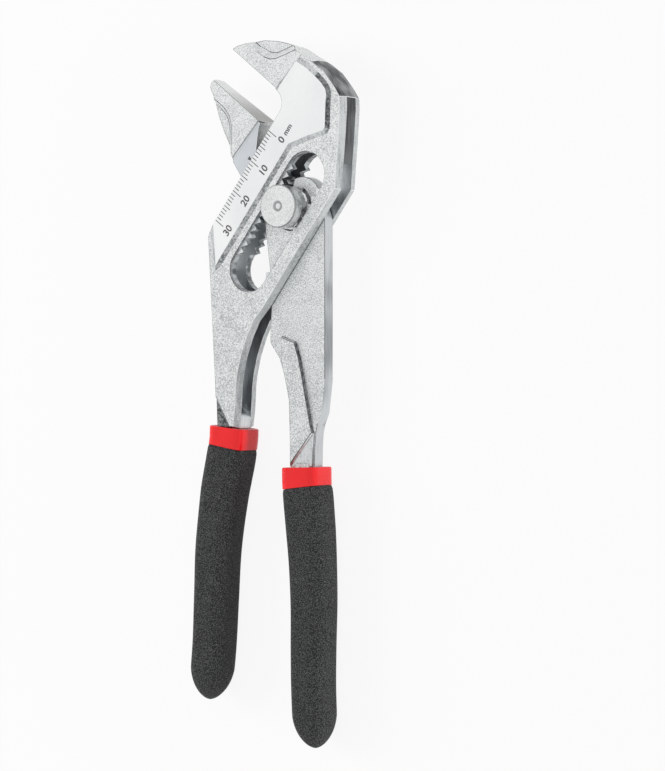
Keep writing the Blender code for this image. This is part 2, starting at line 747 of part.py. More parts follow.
def sliding_jaw(look):
    """Sliding jaw: thick head, thin plate beside the ruler, and the toothed tail."""
    spare = running_gap * 3
    full = jaw_root_thickness / 2
    head = [place(sliding_jaw_height + spare, jaw_inner_end),
            place(sliding_jaw_height + spare, jaw_outer_end)]
    head += scaled(sliding_jaw_back_shares, head_reach)
    levels = [(-full, 0.0), (-full * 0.4, -draft_inset), (full * 0.4, -draft_inset), (full, 0.0)]
    body = slab("sliding_jaw", head, levels, jaw_taper)
    hollow = scaled(sliding_scallop_shares, head_reach)[::-1]
    for cutter in mirrored_pair(lambda side: scallop(side, hollow, "scallop")):
        cut(body, cutter)
    edge = ruler_edge - running_gap
    web = [place(sliding_jaw_height * along, ruler_edge - throat_depth_from_ruler * across)
           for along, across in jaw_web_shares]
    web += [place(sliding_jaw_height, jaw_inner_end - overrun)]
    web += [place(overrun, jaw_inner_end - overrun)]
    web += scaled(sliding_jaw_heel_shares, head_reach)
    web += [place(-tail_half_length * 0.42, edge)]
    half_web = jaw_web_thickness / 2
    join(body, prism("web", web, -half_web, half_web))
    teeth = rack_points(-tail_half_length, tail_half_length)
    plate = [place(u, -d) for u, d in teeth]
    plate += [
        place(tail_half_length, -slot_half * 2),
        place(tail_half_length * 0.55, ruler_edge + overrun * 0.2),
        place(tail_half_length * 0.60, edge - overrun * 0.3),
        place(-tail_half_length * 0.30, edge - overrun * 0.3),
        place(-tail_half_length * 0.42, edge + overrun * 0.2),
        place(-tail_half_length, -rack_root - tooth_height),
    ]
    join(body, prism("plate", plate, -half_plate, half_plate))
    face = [
        place(sliding_jaw_height, ruler_edge),
        place(sliding_jaw_height + head_reach, ruler_edge),
        place(sliding_jaw_height + head_reach, jaw_outer_end - head_reach),
        place(sliding_jaw_height, jaw_outer_end - head_reach),
    ]
    cut(body, prism("grip_face", face, -half_pad, half_pad))
    return finish(body, look)


def pin_heights():
    """Heights of the pin's steps at rest, from the slot's layers and the push travel."""
    lock_low = half_cavity + flank_clearance
    waist_low = half_plate + push_travel + running_gap
    button_low = rack_outer + push_travel + running_gap
    face = half_body + button_height
    sleeve_top = lock_low - push_travel - running_gap
    shaft_low = sleeve_top - shaft_engagement
    return lock_low, waist_low, button_low, face, sleeve_top, shaft_low


def push_button_pin(look):
    """Sprung pin: button, flatted waist, locking teeth on the spine side, shaft and stem."""
    lock_low, waist_low, button_low, face, _, shaft_low = pin_heights()
    ring_high = bush_floor_low() - running_gap
    ring_low = ring_high - ring_thickness
    foot = ring_low - running_gap
    profile = [
        (0, foot), (stem_radius, foot), (stem_radius, ring_low - flank_clearance),
        (groove_radius, ring_low - flank_clearance), (groove_radius, ring_high + flank_clearance),
        (stem_radius, ring_high + flank_clearance), (stem_radius, shaft_low),
        (shaft_radius, shaft_low), (shaft_radius, lock_low), (core_radius, lock_low),
        (core_radius, button_low), (button_radius, button_low),
        (button_radius, face - button_edge), (button_radius - button_edge, face),
        (button_dimple_radius, face), (0, face - button_edge),
    ]
    body = turned("push_button_pin", profile, 36)
    flat = rack_tip - running_gap
    waist_end = math.acos(flat / waist_radius)
    along_way = slot_angle
    outline = arc((0, 0), waist_radius, along_way - math.pi / 2 + waist_end,
                  along_way + math.pi / 2 - waist_end, 10)
    outline += arc((0, 0), waist_radius, along_way + math.pi / 2 + waist_end,
                   along_way + 3 * math.pi / 2 - waist_end, 10)
    join(body, prism("waist", outline, waist_low, button_low + flank_clearance))
    reach = np.linspace(-lock_radius, lock_radius, 49)
    teeth = []
    for along in reach[1:-1]:
        edge = math.sqrt(lock_radius ** 2 - along ** 2)
        teeth.append(place(along, min(edge, float(fitted_depth(along)))))
    teeth += [place(reach[-2], running_gap), place(reach[1], running_gap)]
    join(body, prism("lock_teeth", teeth, lock_low + flank_clearance / 2,
                     lock_low + lock_thickness))
    link_start = waist_end * 1.2
    link_end = link_start + (math.pi / 2 - link_start) * 0.85
    link = arc((0, 0), waist_radius * 0.97, along_way - math.pi / 2 + link_start,
               along_way - math.pi / 2 + link_end, 6)
    link += [place(running_gap * 2, running_gap * 2)]
    join(body, prism("lock_link", link, lock_low + lock_thickness / 2,
                     waist_low + flank_clearance))
    return finish(body, look)


def bush_floor_high():
    """Upper face of the bush's floor, a little under the inner arm."""
    return -(half_cavity + running_gap)


def bush_floor_low():
    """Lower face of the bush's floor, inside the flange."""
    return bush_floor_high() - bush_floor


def rear_bush(look):
    """Bush in the back slot: flange, boss between the teeth, and the sleeve the arm turns on."""
    sleeve_top = pin_heights()[4]
    outer = arm_bore_radius - running_gap
    bore = outer - bush_wall
    floor_low, floor_high, boss_top = bush_floor_low(), bush_floor_high(), -half_cavity
    flange_top = -(rack_outer + running_gap)
    flange_radius = slot_half - running_gap
    boss = rack_tip - running_gap
    bottom = -half_body
    recess = ring_radius + running_gap * 2
    hole = stem_radius + running_gap
    profile = [
        (hole, floor_low), (recess, floor_low), (recess + running_gap, bottom),
        (flange_radius, bottom), (flange_radius, flange_top), (boss, flange_top),
        (boss, boss_top), (outer, boss_top), (outer, sleeve_top), (bore, sleeve_top),
        (bore, floor_high), (hole, floor_high),
    ]
    return finish(turned("rear_bush", profile, 36), look)


def retaining_ring(look):
    """Open ring in the groove of the stem, under the bush's floor."""
    high = bush_floor_low() - running_gap
    low = high - ring_thickness
    inside = groove_radius + running_gap
    start, end = ring_mouth / 2, 2 * math.pi - ring_mouth / 2
    outline = arc((0, 0), ring_radius, start, end, 28) + arc((0, 0), inside, end, start, 16)
    return finish(prism("retaining_ring", outline, low, high), look)


def button_spring(look):
    """Compression spring round the stem, from the bush's floor to the pin's shaft."""
    shaft_low = pin_heights()[5]
    low = bush_floor_high() + running_gap + spring_wire_radius
    high = shaft_low - running_gap - spring_wire_radius
    mean = (stem_radius + shaft_radius) / 2 + spring_wire_radius
    curve = bpy.data.curves.new("button_spring", "CURVE")
    curve.dimensions = "3D"
    curve.bevel_depth = spring_wire_radius
    curve.bevel_resolution = 1
    curve.use_fill_caps = True
    points = int(spring_turns * 12) + 1
    line = curve.splines.new("POLY")
    line.points.add(points - 1)
    for i, t in enumerate(np.linspace(0, 1, points)):
        angle = 2 * math.pi * spring_turns * t
        height = low + (high - low) * t
        line.points[i].co = (mean * math.cos(angle), mean * math.sin(angle), height, 1.0)
    lead = (high - low) / spring_turns
    print(f"least gap between the spring's turns {lead - 2 * spring_wire_radius:.5f} m")
    holder = bpy.data.objects.new("spring_line", curve)
    bpy.context.scene.collection.objects.link(holder)
    shown = holder.evaluated_get(bpy.context.evaluated_depsgraph_get())
    mesh = bpy.data.meshes.new_from_object(shown)
    bpy.data.objects.remove(holder, do_unlink=True)
    body = bpy.data.objects.new("button_spring", mesh)
    bpy.context.scene.collection.objects.link(body)
    return finish(body, look, 60.0)


def set_down(pieces):
    """Put the tool on its back at the origin: an empty carries it, its footprint centred."""
    corners = np.array([v.co for piece in pieces for v in piece.data.vertices])
    low, high = corners.min(axis=0), corners.max(axis=0)
    stand = bpy.data.objects.new("wrench", None)
    bpy.context.scene.collection.objects.link(stand)
    stand.location = (-(low[0] + high[0]) / 2, -(low[1] + high[1]) / 2, -low[2])
    for piece in pieces:
        piece.parent = stand
    print("pin axis at", tuple(round(c, 6) for c in stand.location))
    print("size", tuple(round(float(c), 6) for c in high - low))
    print("pitch radius", round(pitch_radius, 7), "jaw gap", round(jaw_gap, 6))


def main():
    """Build every piece and set the tool down."""
    remove_everything()
    forged = material("forged_steel", (0.62, 0.63, 0.64), 0.38, 1.0)
    jaw_steel = material("jaw_steel", (0.60, 0.61, 0.62), 0.36, 1.0)
    bright = material("bright_steel", (0.66, 0.67, 0.68), 0.25, 1.0)
    spring_steel = material("spring_steel", (0.42, 0.43, 0.45), 0.35, 1.0)
    red = material("red_sleeve", (0.80, 0.03, 0.04), 0.30, 0.0)
    black = material("black_grip", (0.045, 0.047, 0.048), 0.80, 0.0)
    left = Handle(left_handle_shares, outer_neck_reach, left_handle_length)
    right = Handle(right_handle_shares, inner_neck_reach, right_handle_length)
    pieces = [
        outer_arm(left, forged),
        inner_arm(right, forged),
        sliding_jaw(jaw_steel),
        push_button_pin(bright),
        rear_bush(bright),
        retaining_ring(spring_steel),
        button_spring(spring_steel),
        finish(left.sleeve("left_sleeve"), red, 50.0),
        finish(right.sleeve("right_sleeve"), red, 50.0),
        finish(left.grip("left_grip"), black, 50.0),
        finish(right.grip("right_grip"), black, 50.0),
    ]
    set_down(pieces)


main()
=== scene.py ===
"""Pliers wrench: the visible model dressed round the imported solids.

The tool lies on its back with the ruler side up. Every class below is one sub-assembly, one
finish or one helper of theirs. Places come from the tool's own frame: "along" runs up the slot
towards the fixed jaw, "across" runs from the slot's middle line towards the spine, and "height"
from the middle of the thickness towards the ruler side; "level" is the height without its sign.
Lengths are in metres and colours are written as screen values up to 255.
"""
import json
import logging
import math
from dataclasses import dataclass, field
from enum import Enum
from typing import Dict, List, NamedTuple, Optional, Protocol, Sequence, Tuple, Union

import bmesh
import bpy
import numpy as np
from mathutils import Matrix, Vector


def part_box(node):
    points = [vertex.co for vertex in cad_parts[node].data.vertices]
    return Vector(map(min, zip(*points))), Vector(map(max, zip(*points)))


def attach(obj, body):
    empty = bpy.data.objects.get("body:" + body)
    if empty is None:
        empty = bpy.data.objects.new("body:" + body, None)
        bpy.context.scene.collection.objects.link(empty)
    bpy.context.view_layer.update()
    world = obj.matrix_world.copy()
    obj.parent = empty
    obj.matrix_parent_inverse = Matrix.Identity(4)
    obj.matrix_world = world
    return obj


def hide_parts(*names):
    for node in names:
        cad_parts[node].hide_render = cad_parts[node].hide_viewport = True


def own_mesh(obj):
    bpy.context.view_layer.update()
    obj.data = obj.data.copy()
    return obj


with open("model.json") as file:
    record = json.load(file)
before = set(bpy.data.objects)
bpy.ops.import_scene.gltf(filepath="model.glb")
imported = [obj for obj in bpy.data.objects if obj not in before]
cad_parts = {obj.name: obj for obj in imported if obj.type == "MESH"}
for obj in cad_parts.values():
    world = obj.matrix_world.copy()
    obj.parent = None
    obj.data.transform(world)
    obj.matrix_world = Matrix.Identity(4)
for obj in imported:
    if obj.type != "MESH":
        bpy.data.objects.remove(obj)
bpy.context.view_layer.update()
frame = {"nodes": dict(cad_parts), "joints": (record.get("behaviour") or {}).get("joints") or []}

log = logging.getLogger("wrench")
Colour = Tuple[float, float, float]
Points = np.ndarray
Piece = bpy.types.Object
Look = bpy.types.Material

# The slot's angle, and places and half thicknesses on the forged pieces. SLACK is the play round
# a place where faces are sorted, WELD the distance under which two points become one, and FACING
# how nearly a normal has to point in a direction.
MM = 0.001
SLOT_ANGLE = math.radians(53.3)
COS_SLOT, SIN_SLOT = math.cos(SLOT_ANGLE), math.sin(SLOT_ANGLE)
UP_SLOT = np.array([COS_SLOT, SIN_SLOT, 0.0])
OVER_SLOT = np.array([SIN_SLOT, -COS_SLOT, 0.0])
SLOT_HALF = 0.00635
SLOT_ENDS = (-0.030, 0.0185)
LINE_ENDS = (-0.031, 0.0190)
RULER_EDGE = -0.0171
HALF_BODY = 0.0050
HALF_PAD = 0.0055
HALF_LAND = 0.00215
HALF_CAVITY = 0.0023
HALF_WEB = 0.0037
RACK_OUTER = 0.0042
NECK_TOP = -0.012
SLACK = 0.0001
WELD = 2e-7
FACING = 0.97


def pin_axis() -> Points:
    """Place of the pin's axis, half way through the tool's thickness."""
    hinge = next(joint for joint in frame["joints"] if joint["type"] == "hinge")
    return np.array(hinge["pos_m"], dtype=float)


PIN = pin_axis()


def plan(first: Points, second: Points) -> Tuple[Points, Points]:
    """Places along and across as x and y from the pin, or the other way: it is its own inverse."""
    # First times the cosine plus second times the sine of the slot's angle, and first times the
    # sine minus second times the cosine.
    return (first * COS_SLOT + second * SIN_SLOT, first * SIN_SLOT - second * COS_SLOT)


def spot(along: Union[float, Points], across: Union[float, Points], height: float) -> Points:
    """Points of the row's frame for places along the slot, across it and through the tool."""
    return PIN + np.stack(np.broadcast_arrays(*plan(along, across), height), axis=-1)


def tool_places(points: Points) -> Points:
    """Along, across and height of an array of n by 3 points: the inverse of spot."""
    x, y, z = (points - PIN).T
    return np.stack([*plan(x, y), z], axis=1)


def linear(red: int, green: int, blue: int) -> Colour:
    """Linear colour of a screen colour.

    Formula: the usual screen curve, a power of 2.4 above a short straight foot.

    Args:
        red: Red up to 255.
        green: Green up to 255.
        blue: Blue up to 255.

    Returns:
        Linear red, green and blue up to 1.
    """
    shares = np.array([red, green, blue]) / 255.0
    curve = np.where(shares > 0.04045, ((shares + 0.055) / 1.055) ** 2.4, shares / 12.92)
    return tuple(float(c) for c in curve)


# Shaders and finishes


class Wire:
    """Output of a shader node that can stand in sums, as a number would."""

    def __init__(self, bench: "Bench", socket: bpy.types.NodeSocket) -> None:
        """Keep the bench the node stands on and its output socket."""
        self.bench = bench
        self.socket = socket

    def _maths(self, operation: str, first: "Value", second: "Value") -> "Wire":
        """Math node of one operation on two values."""
        node = self.bench.node("ShaderNodeMath", {"operation": operation}, {0: first, 1: second})
        return self.bench.out(node)

    def __add__(self, other: "Value") -> "Wire":
        """Sum."""
        return self._maths("ADD", self, other)

    __radd__ = __add__

    def __mul__(self, other: "Value") -> "Wire":
        """Product."""
        return self._maths("MULTIPLY", self, other)

    __rmul__ = __mul__

    def __sub__(self, other: "Value") -> "Wire":
        """Difference."""
        return self._maths("SUBTRACT", self, other)

    def __rsub__(self, other: "Value") -> "Wire":
        """Difference with the wire as the second number."""
        return self._maths("SUBTRACT", other, self)

    def at_least(self, other: "Value") -> "Wire":
        """Larger of two values."""
        return self._maths("MAXIMUM", self, other)

    def ramp(self, low: float, high: float) -> "Wire":
        """Smooth step that is 0 up to low and 1 from high on.

        Args:
            low: Value up to which it is 0.
            high: Value from which it is 1.

        Returns:
            Wire of the step.
        """
        node = self.bench.node(
            "ShaderNodeMapRange", {"interpolation_type": "SMOOTHSTEP"},
            {"Value": self, "From Min": low, "From Max": high, "To Min": 0.0, "To Max": 1.0})
        return self.bench.out(node)


Value = Union[Wire, float]


class Bench:
    """Node tree of one material or world, with one method for every kind of node."""

    def __init__(self, name: str, world: bool = False) -> None:
        """Start an empty tree with an output node.

        Args:
            name: Name of the material or world.
            world: Whether it is a world.
        """
        self.owner = (bpy.data.worlds if world else bpy.data.materials).new(name)
        self.owner.use_nodes = True
        self.tree = self.owner.node_tree
        self.tree.nodes.clear()
        self.end = self.node("ShaderNodeOutputWorld" if world else "ShaderNodeOutputMaterial")

    def node(self, kind: str, settings: Optional[dict] = None,
             inputs: Optional[dict] = None) -> bpy.types.Node:
        """New node of a kind.

        Args:
            kind: Blender's name of the node.
            settings: Values of its properties, set first.
            inputs: Values or wires for its sockets, by name or number.

        Returns:
            The node.
        """
        made = self.tree.nodes.new(kind)
        for key, value in (settings or {}).items():
            setattr(made, key, value)
        for key, value in (inputs or {}).items():
            socket = made.inputs[key]
            if isinstance(value, Wire):
                self.tree.links.new(value.socket, socket)
            elif isinstance(value, tuple) and len(value) == 3 and socket.type == "RGBA":
                socket.default_value = (*value, 1.0)
            else:
                socket.default_value = value
        return made

    def out(self, node: bpy.types.Node, which: Union[int, str] = 0) -> Wire:
        """Wire from an output of a node."""
        return Wire(self, node.outputs[which])

    def place(self) -> Wire:
        """Object coordinates."""
        return self.out(self.node("ShaderNodeTexCoord"), "Object")

    def stretched(self, place: Wire, factors: Tuple[float, float, float]) -> Wire:
        """Coordinates times three factors."""
        return self.out(self.node("ShaderNodeVectorMath", {"operation": "MULTIPLY"},
                                  {0: place, 1: factors}))

    def turned_place(self, turn: float, factors: Tuple[float, float, float]) -> Wire:
        """Object coordinates about the pin's axis, turned about it and stretched.

        Args:
            turn: Angle of the pattern's first direction, in radians.
            factors: Factors on the three turned coordinates.

        Returns:
            Wire of the new coordinates.
        """
        moved = self.node("ShaderNodeVectorMath", {"operation": "SUBTRACT"},
                          {0: self.place(), 1: tuple(PIN)})
        turned = self.node("ShaderNodeMapping", {"vector_type": "POINT"}, {
            "Vector": self.out(moved), "Rotation": (0.0, 0.0, -turn)})
        return self.stretched(self.out(turned), factors)

    def part(self, vector: Wire, which: int) -> Wire:
        """One coordinate of a vector, by its number."""
        return self.out(self.node("ShaderNodeSeparateXYZ", None, {0: vector}), which)

    def noise(self, place: Wire, scale: float, detail: float = 2.0,
              roughness: float = 0.5) -> Wire:
        """Cloudy pattern from 0 to 1 with so many clouds in a metre.

        Args:
            place: Coordinates.
            scale: Clouds in a metre.
            detail: How often finer clouds are laid over it.
            roughness: Weight of the finer clouds.

        Returns:
            Wire of the pattern.
        """
        node = self.node("ShaderNodeTexNoise", None, {
            "Vector": place, "Scale": scale, "Detail": detail, "Roughness": roughness})
        return self.out(node, "Fac")

    def cells(self, place: Wire, scale: float) -> Wire:
        """Distance to the nearest of scattered points, for pits and grains.

        Args:
            place: Coordinates.
            scale: Points in a metre.

        Returns:
            Wire of the distance.
        """
        node = self.node("ShaderNodeTexVoronoi", {"feature": "F1"},
                         {"Vector": place, "Scale": scale})
        return self.out(node, "Distance")

    def blend(self, share: Value, low: Union[Wire, Colour], high: Union[Wire, Colour]) -> Wire:
        """Colour between two colours."""
        node = self.node("ShaderNodeMix", {"data_type": "RGBA"}, {0: share, 6: low, 7: high})
        return self.out(node, 2)

    def bump(self, height: Wire, depth: float) -> Wire:
        """Normal that a relief of a depth in metres gives."""
        return self.out(self.node("ShaderNodeBump", None, {
            "Strength": 1.0, "Distance": depth, "Height": height}))

    def close(self, shader: bpy.types.Node) -> Union[Look, bpy.types.World]:
        """Join a shader to the output and hand over the material or world."""
        self.tree.links.new(shader.outputs[0], self.end.inputs["Surface"])
        return self.owner

    def shade(self, **inputs: Union[Value, Colour]) -> Look:
        """Close with a Principled shader; in its sockets' names an underscore is a space."""
        named = {key.replace("_", " "): value for key, value in inputs.items()}
        return self.close(self.node("ShaderNodeBsdfPrincipled", None, named))

    def close_pale(self, plain: bpy.types.Node, white: bpy.types.Node,
                   share: float) -> Union[Look, bpy.types.World]:
        """Close with a plain shader that the eye and mirrors see as white.

        Args:
            plain: Shader that lights the tool.
            white: Shader that camera, glossy and transmission rays see.
            share: How much of the white one they see.

        Returns:
            The finished material or world.
        """
        path = self.node("ShaderNodeLightPath")
        eye, gloss, glass = (self.out(path, f"Is {ray} Ray")
                             for ray in ("Camera", "Glossy", "Transmission"))
        return self.close(self.node("ShaderNodeMixShader", None, {
            0: eye.at_least(gloss).at_least(glass) * share,
            1: self.out(plain), 2: self.out(white)}))


class Finish(Protocol):
    """Anything that makes a material."""

    def make(self) -> Look:
        """The material."""


@dataclass(frozen=True)
class PlatedForging:
    """Satin plating over a blasted forging: pale grey with a fine glittering grain."""

    pale: Colour = linear(241, 243, 243)
    shaded: Colour = linear(168, 171, 172)
    grains: float = 3100.0
    clouds: float = 170.0
    contrast: Tuple[float, float] = (0.35, 0.66)
    upper_part: Tuple[float, float] = (-0.03, 0.09)
    depth: float = 0.00005

    def make(self) -> Look:
        """Mix two greys by a fine and a broad cloud, paler up the tool, and raise the fine one.

        Returns:
            The material.
        """
        bench = Bench("plated_forging")
        place = bench.place()
        fine = bench.noise(place, self.grains, 3.0, 0.62)
        broad = bench.noise(place, self.clouds)
        upward = bench.part(place, 1).ramp(*self.upper_part)
        share = (fine * 0.88 + broad * 0.12 + upward * 0.05).ramp(*self.contrast)
        lumps = bench.noise(place, self.grains * 0.4)
        return bench.shade(
            Base_Color=bench.blend(share, self.shaded, self.pale), Metallic=0.88,
            Roughness=0.34 + fine * 0.22,
            Normal=bench.bump(fine * 0.65 + lumps * 0.35, self.depth))


@dataclass(frozen=True)
class SmoothPad:
    """Fine ground and plated face, nearly even."""

    name: str = "smooth_pad"
    pale: Colour = linear(244, 245, 245)
    shaded: Colour = linear(232, 234, 235)
    roughness: float = 0.30
    clouds: float = 60.0
    grain_stretch: Tuple[float, float, float] = (60.0, 900.0, 60.0)

    def make(self) -> Look:
        """Mix two near greys by a broad cloud and a faint grain along the slot.

        Returns:
            The material.
        """
        bench = Bench(self.name)
        grain = bench.noise(bench.turned_place(SLOT_ANGLE, self.grain_stretch), 6.0)
        broad = bench.noise(bench.place(), self.clouds, 1.0)
        share = (grain * 0.4 + broad * 0.6).ramp(0.3, 0.7)
        return bench.shade(
            Base_Color=bench.blend(share, self.shaded, self.pale), Metallic=0.85,
            Roughness=self.roughness + grain * 0.08)


@dataclass(frozen=True)
class MottledBand:
    """Sloping border that the plating left uneven: dark and pale specks, deepened by painted shade.
    """

    name: str = "mottled_band"
    pale: Colour = linear(196, 199, 200)
    dark: Colour = linear(112, 115, 117)
    specks: float = 1500.0
    clouds: float = 260.0
    depth: float = 0.00006

    def make(self) -> Look:
        """Mix dark and pale by a sharp fine cloud.

        Returns:
            The material.
        """
        bench = Bench(self.name)
        place = bench.place()
        specks = bench.noise(place, self.specks, 3.0, 0.7)
        share = (specks * 0.7 + bench.noise(place, self.clouds) * 0.3).ramp(0.38, 0.62)
        return bench.shade(
            Base_Color=bench.blend(share, self.dark, self.pale), Metallic=0.9,
            Roughness=0.42 + specks * 0.1, Normal=bench.bump(specks, self.depth))


@dataclass(frozen=True)
class GroundSteel:
    """Ground flank, dark with painted reflection, with fine slanting scratches and slow clouds down
    it.
    """

    name: str = "ground_flank"
    # Its dark tone is partly the ground steel and partly painted reflection; paler copies of it are
    # painted light.
    pale: Colour = linear(116, 119, 120)
    dark: Colour = linear(56, 59, 61)
    clouds: float = 75.0
    scratch: Colour = linear(170, 173, 174)
    slant: float = math.radians(28.0)
    scratch_stretch: Tuple[float, float, float] = (300.0, 55.0, 1300.0)

    def make(self) -> Look:
        """Mix two dark greys by long clouds, with thin pale scratches over them.

        Returns:
            The material.
        """
        bench = Bench(self.name)
        place = bench.place()
        long_way = bench.node("ShaderNodeMapping", {"vector_type": "POINT"}, {
            "Vector": place, "Rotation": (self.slant, 0.0, 0.0), "Scale": self.scratch_stretch})
        lines = bench.noise(bench.out(long_way), 2.2, 3.0, 0.6)
        broad = bench.noise(place, self.clouds, 1.0)
        base = bench.blend((broad * 0.65 + lines * 0.35).ramp(0.36, 0.66), self.dark, self.pale)
        return bench.shade(
            Base_Color=bench.blend(lines.ramp(0.66, 0.74) * 0.5, base, self.scratch),
            Metallic=0.92, Roughness=0.28 + lines * 0.14)


@dataclass(frozen=True)
class DraftSide:
    """Sloping side of the forging, streaked from face to middle."""

    pale: Colour = linear(212, 215, 216)
    dark: Colour = linear(150, 154, 156)
    streak_stretch: Tuple[float, float, float] = (900.0, 130.0, 900.0)
    grains: float = 1900.0
    clouds: float = 45.0
    depth: float = 0.00005

    def make(self) -> Look:
        """Mix two greys by clouds that run along the tool and by a fine grain.

        Returns:
            The material.
        """
        bench = Bench("draft_side")
        place = bench.place()
        lines = bench.noise(bench.stretched(place, self.streak_stretch), 1.5)
        grain = bench.noise(place, self.grains, 2.0, 0.6)
        broad = bench.noise(place, self.clouds, 1.0)
        share = (lines * 0.3 + grain * 0.3 + broad * 0.4).ramp(0.36, 0.6)
        return bench.shade(
            Base_Color=bench.blend(share, self.dark, self.pale), Metallic=0.9,
            Roughness=0.36 + grain * 0.15, Normal=bench.bump(grain, self.depth))


@dataclass(frozen=True)
class ToothSteel:
    """Milled flanks of the racks with pale milling marks; dark partly as painted shade."""

    pale: Colour = linear(190, 194, 196)
    dark: Colour = linear(94, 98, 100)
    marks: float = 640.0
    upright: Tuple[float, float, float] = (1.0, 1.0, 0.35)

    def make(self) -> Look:
        """Mix dark and mid grey by upright clouds.

        Returns:
            The material.
        """
        bench = Bench("tooth_steel")
        marks = bench.noise(bench.stretched(bench.place(), self.upright), self.marks)
        return bench.shade(
            Base_Color=bench.blend(marks.ramp(0.38, 0.68), self.dark, self.pale),
            Metallic=0.94, Roughness=0.24 + marks * 0.12)


@dataclass(frozen=True)
class GrippingFace:
    """Ground face of a jaw: bright at the tip and duller towards the throat."""

    tip: Colour = linear(226, 228, 227)
    root: Colour = linear(160, 161, 158)
    line: Colour = linear(90, 92, 92)
    throat: Tuple[float, float] = (-0.0400, -0.0235)
    line_stretch: Tuple[float, float, float] = (900.0, 90.0, 900.0)

    def make(self) -> Look:
        """Mix the two ends by the distance across the slot, with fine grinding lines.

        Returns:
            The material.
        """
        bench = Bench("gripping_face")
        across = bench.part(bench.turned_place(SLOT_ANGLE - math.pi / 2, (1.0, 1.0, 1.0)), 0)
        lines = bench.noise(bench.turned_place(SLOT_ANGLE, self.line_stretch), 3.0)
        base = bench.blend(across.ramp(*self.throat), self.tip, self.root)
        return bench.shade(
            Base_Color=bench.blend(lines.ramp(0.35, 0.75) * 0.16, base, self.line),
            Metallic=0.9, Roughness=0.26 + lines * 0.1)


@dataclass(frozen=True)
class BrightTurned:
    """Turned and plated steel of the button, pin and bush."""

    pale: Colour = linear(236, 238, 237)
    dark: Colour = linear(200, 203, 203)
    grains: float = 2900.0
    clouds: float = 230.0
    depth: float = 0.00003

    def make(self) -> Look:
        """Mix two greys by a fine cloud and a slow one.

        Returns:
            The material.
        """
        bench = Bench("bright_turned")
        place = bench.place()
        grain = bench.noise(place, self.grains, 2.0, 0.6)
        share = (grain * 0.8 + bench.noise(place, self.clouds, 1.0) * 0.2).ramp(0.30, 0.66)
        return bench.shade(
            Base_Color=bench.blend(share, self.dark, self.pale), Metallic=0.92,
            Roughness=0.26 + grain * 0.16, Normal=bench.bump(grain, self.depth))


@dataclass(frozen=True)
class DrawnSteel:
    """Drawn spring steel, darker and smooth."""

    pale: Colour = linear(150, 153, 158)
    dark: Colour = linear(98, 100, 106)
    clouds: float = 500.0

    def make(self) -> Look:
        """Mix two greys by a long cloud.

        Returns:
            The material.
        """
        bench = Bench("drawn_steel")
        cloud = bench.noise(bench.place(), self.clouds)
        return bench.shade(Base_Color=bench.blend(cloud.ramp(0.3, 0.7), self.dark, self.pale),
                           Metallic=1.0, Roughness=0.3 + cloud * 0.1)


@dataclass(frozen=True)
class RedPlastic:
    """Glossy red sleeve."""

    bright: Colour = linear(252, 14, 24)
    deep: Colour = linear(246, 6, 16)
    clouds: float = 160.0
    grains: float = 900.0
    depth: float = 0.00002

    def make(self) -> Look:
        """Mix two reds by a broad cloud, with a faint moulded grain.

        Returns:
            The material.
        """
        bench = Bench("red_plastic")
        cloud = bench.noise(bench.place(), self.clouds)
        skin = bench.noise(bench.place(), self.grains)
        return bench.shade(
            Base_Color=bench.blend(cloud.ramp(0.3, 0.7), self.deep, self.bright),
            Roughness=0.24 + cloud * 0.08, Coat_Weight=0.3, Coat_Roughness=0.12,
            Specular_IOR_Level=0.35, Normal=bench.bump(skin, self.depth))


@dataclass(frozen=True)
class BlackFoam:
    """Matt black grip with a fine pebbled grain."""

    pale: Colour = linear(110, 111, 111)
    dark: Colour = linear(30, 31, 32)
    pebbles: float = 3400.0
    grains: float = 4600.0
    clouds: float = 90.0
    depth: float = 0.00012

    def make(self) -> Look:
        """Mix two dark greys by fine grains and dent the skin between them.

        Returns:
            The material.
        """
        bench = Bench("black_foam")
        place = bench.place()
        pebbles = bench.cells(place, self.pebbles)
        fine = bench.noise(place, self.grains, 2.0, 0.6)
        broad = bench.noise(place, self.clouds)
        share = (pebbles * 0.6 + fine * 0.35 + broad * 0.05).ramp(0.26, 0.56)
        return bench.shade(
            Base_Color=bench.blend(share, self.pale, self.dark), Roughness=0.72 + fine * 0.2,
            Specular_IOR_Level=0.4, Normal=bench.bump(1.0 - pebbles + fine * 0.4, self.depth))


@dataclass(frozen=True)
class Ink:
    """Dark filled engraving of the scale."""

    dark: Colour = linear(72, 72, 72)
    worn: Colour = linear(104, 104, 104)
    clouds: float = 2500.0

    def make(self) -> Look:
        """Dark grey with a slight cloud.

        Returns:
            The material.
        """
        bench = Bench("scale_ink")
        cloud = bench.noise(bench.place(), self.clouds)
        return bench.shade(Base_Color=bench.blend(cloud.ramp(0.3, 0.8), self.dark, self.worn),
                           Roughness=0.6)


# Shapes


def placed(name: str, data: bpy.types.ID) -> Piece:
    """New object of some data, linked to the scene and left at the origin.

    Args:
        name: Name of the object.
        data: Its mesh, curve, lamp or camera.

    Returns:
        The object.
    """
    piece = bpy.data.objects.new(name, data)
    bpy.context.scene.collection.objects.link(piece)
    return piece


def weld(mesh: bpy.types.Mesh, nearest: float) -> None:
    """Join the points that lie nearer than a distance and turn the faces outwards.

    Args:
        mesh: Mesh that is changed.
        nearest: Distance under which two points become one.
    """
    shape = bmesh.new()
    shape.from_mesh(mesh)
    bmesh.ops.remove_doubles(shape, verts=shape.verts, dist=nearest)
    bmesh.ops.recalc_face_normals(shape, faces=shape.faces)
    shape.to_mesh(mesh)
    shape.free()


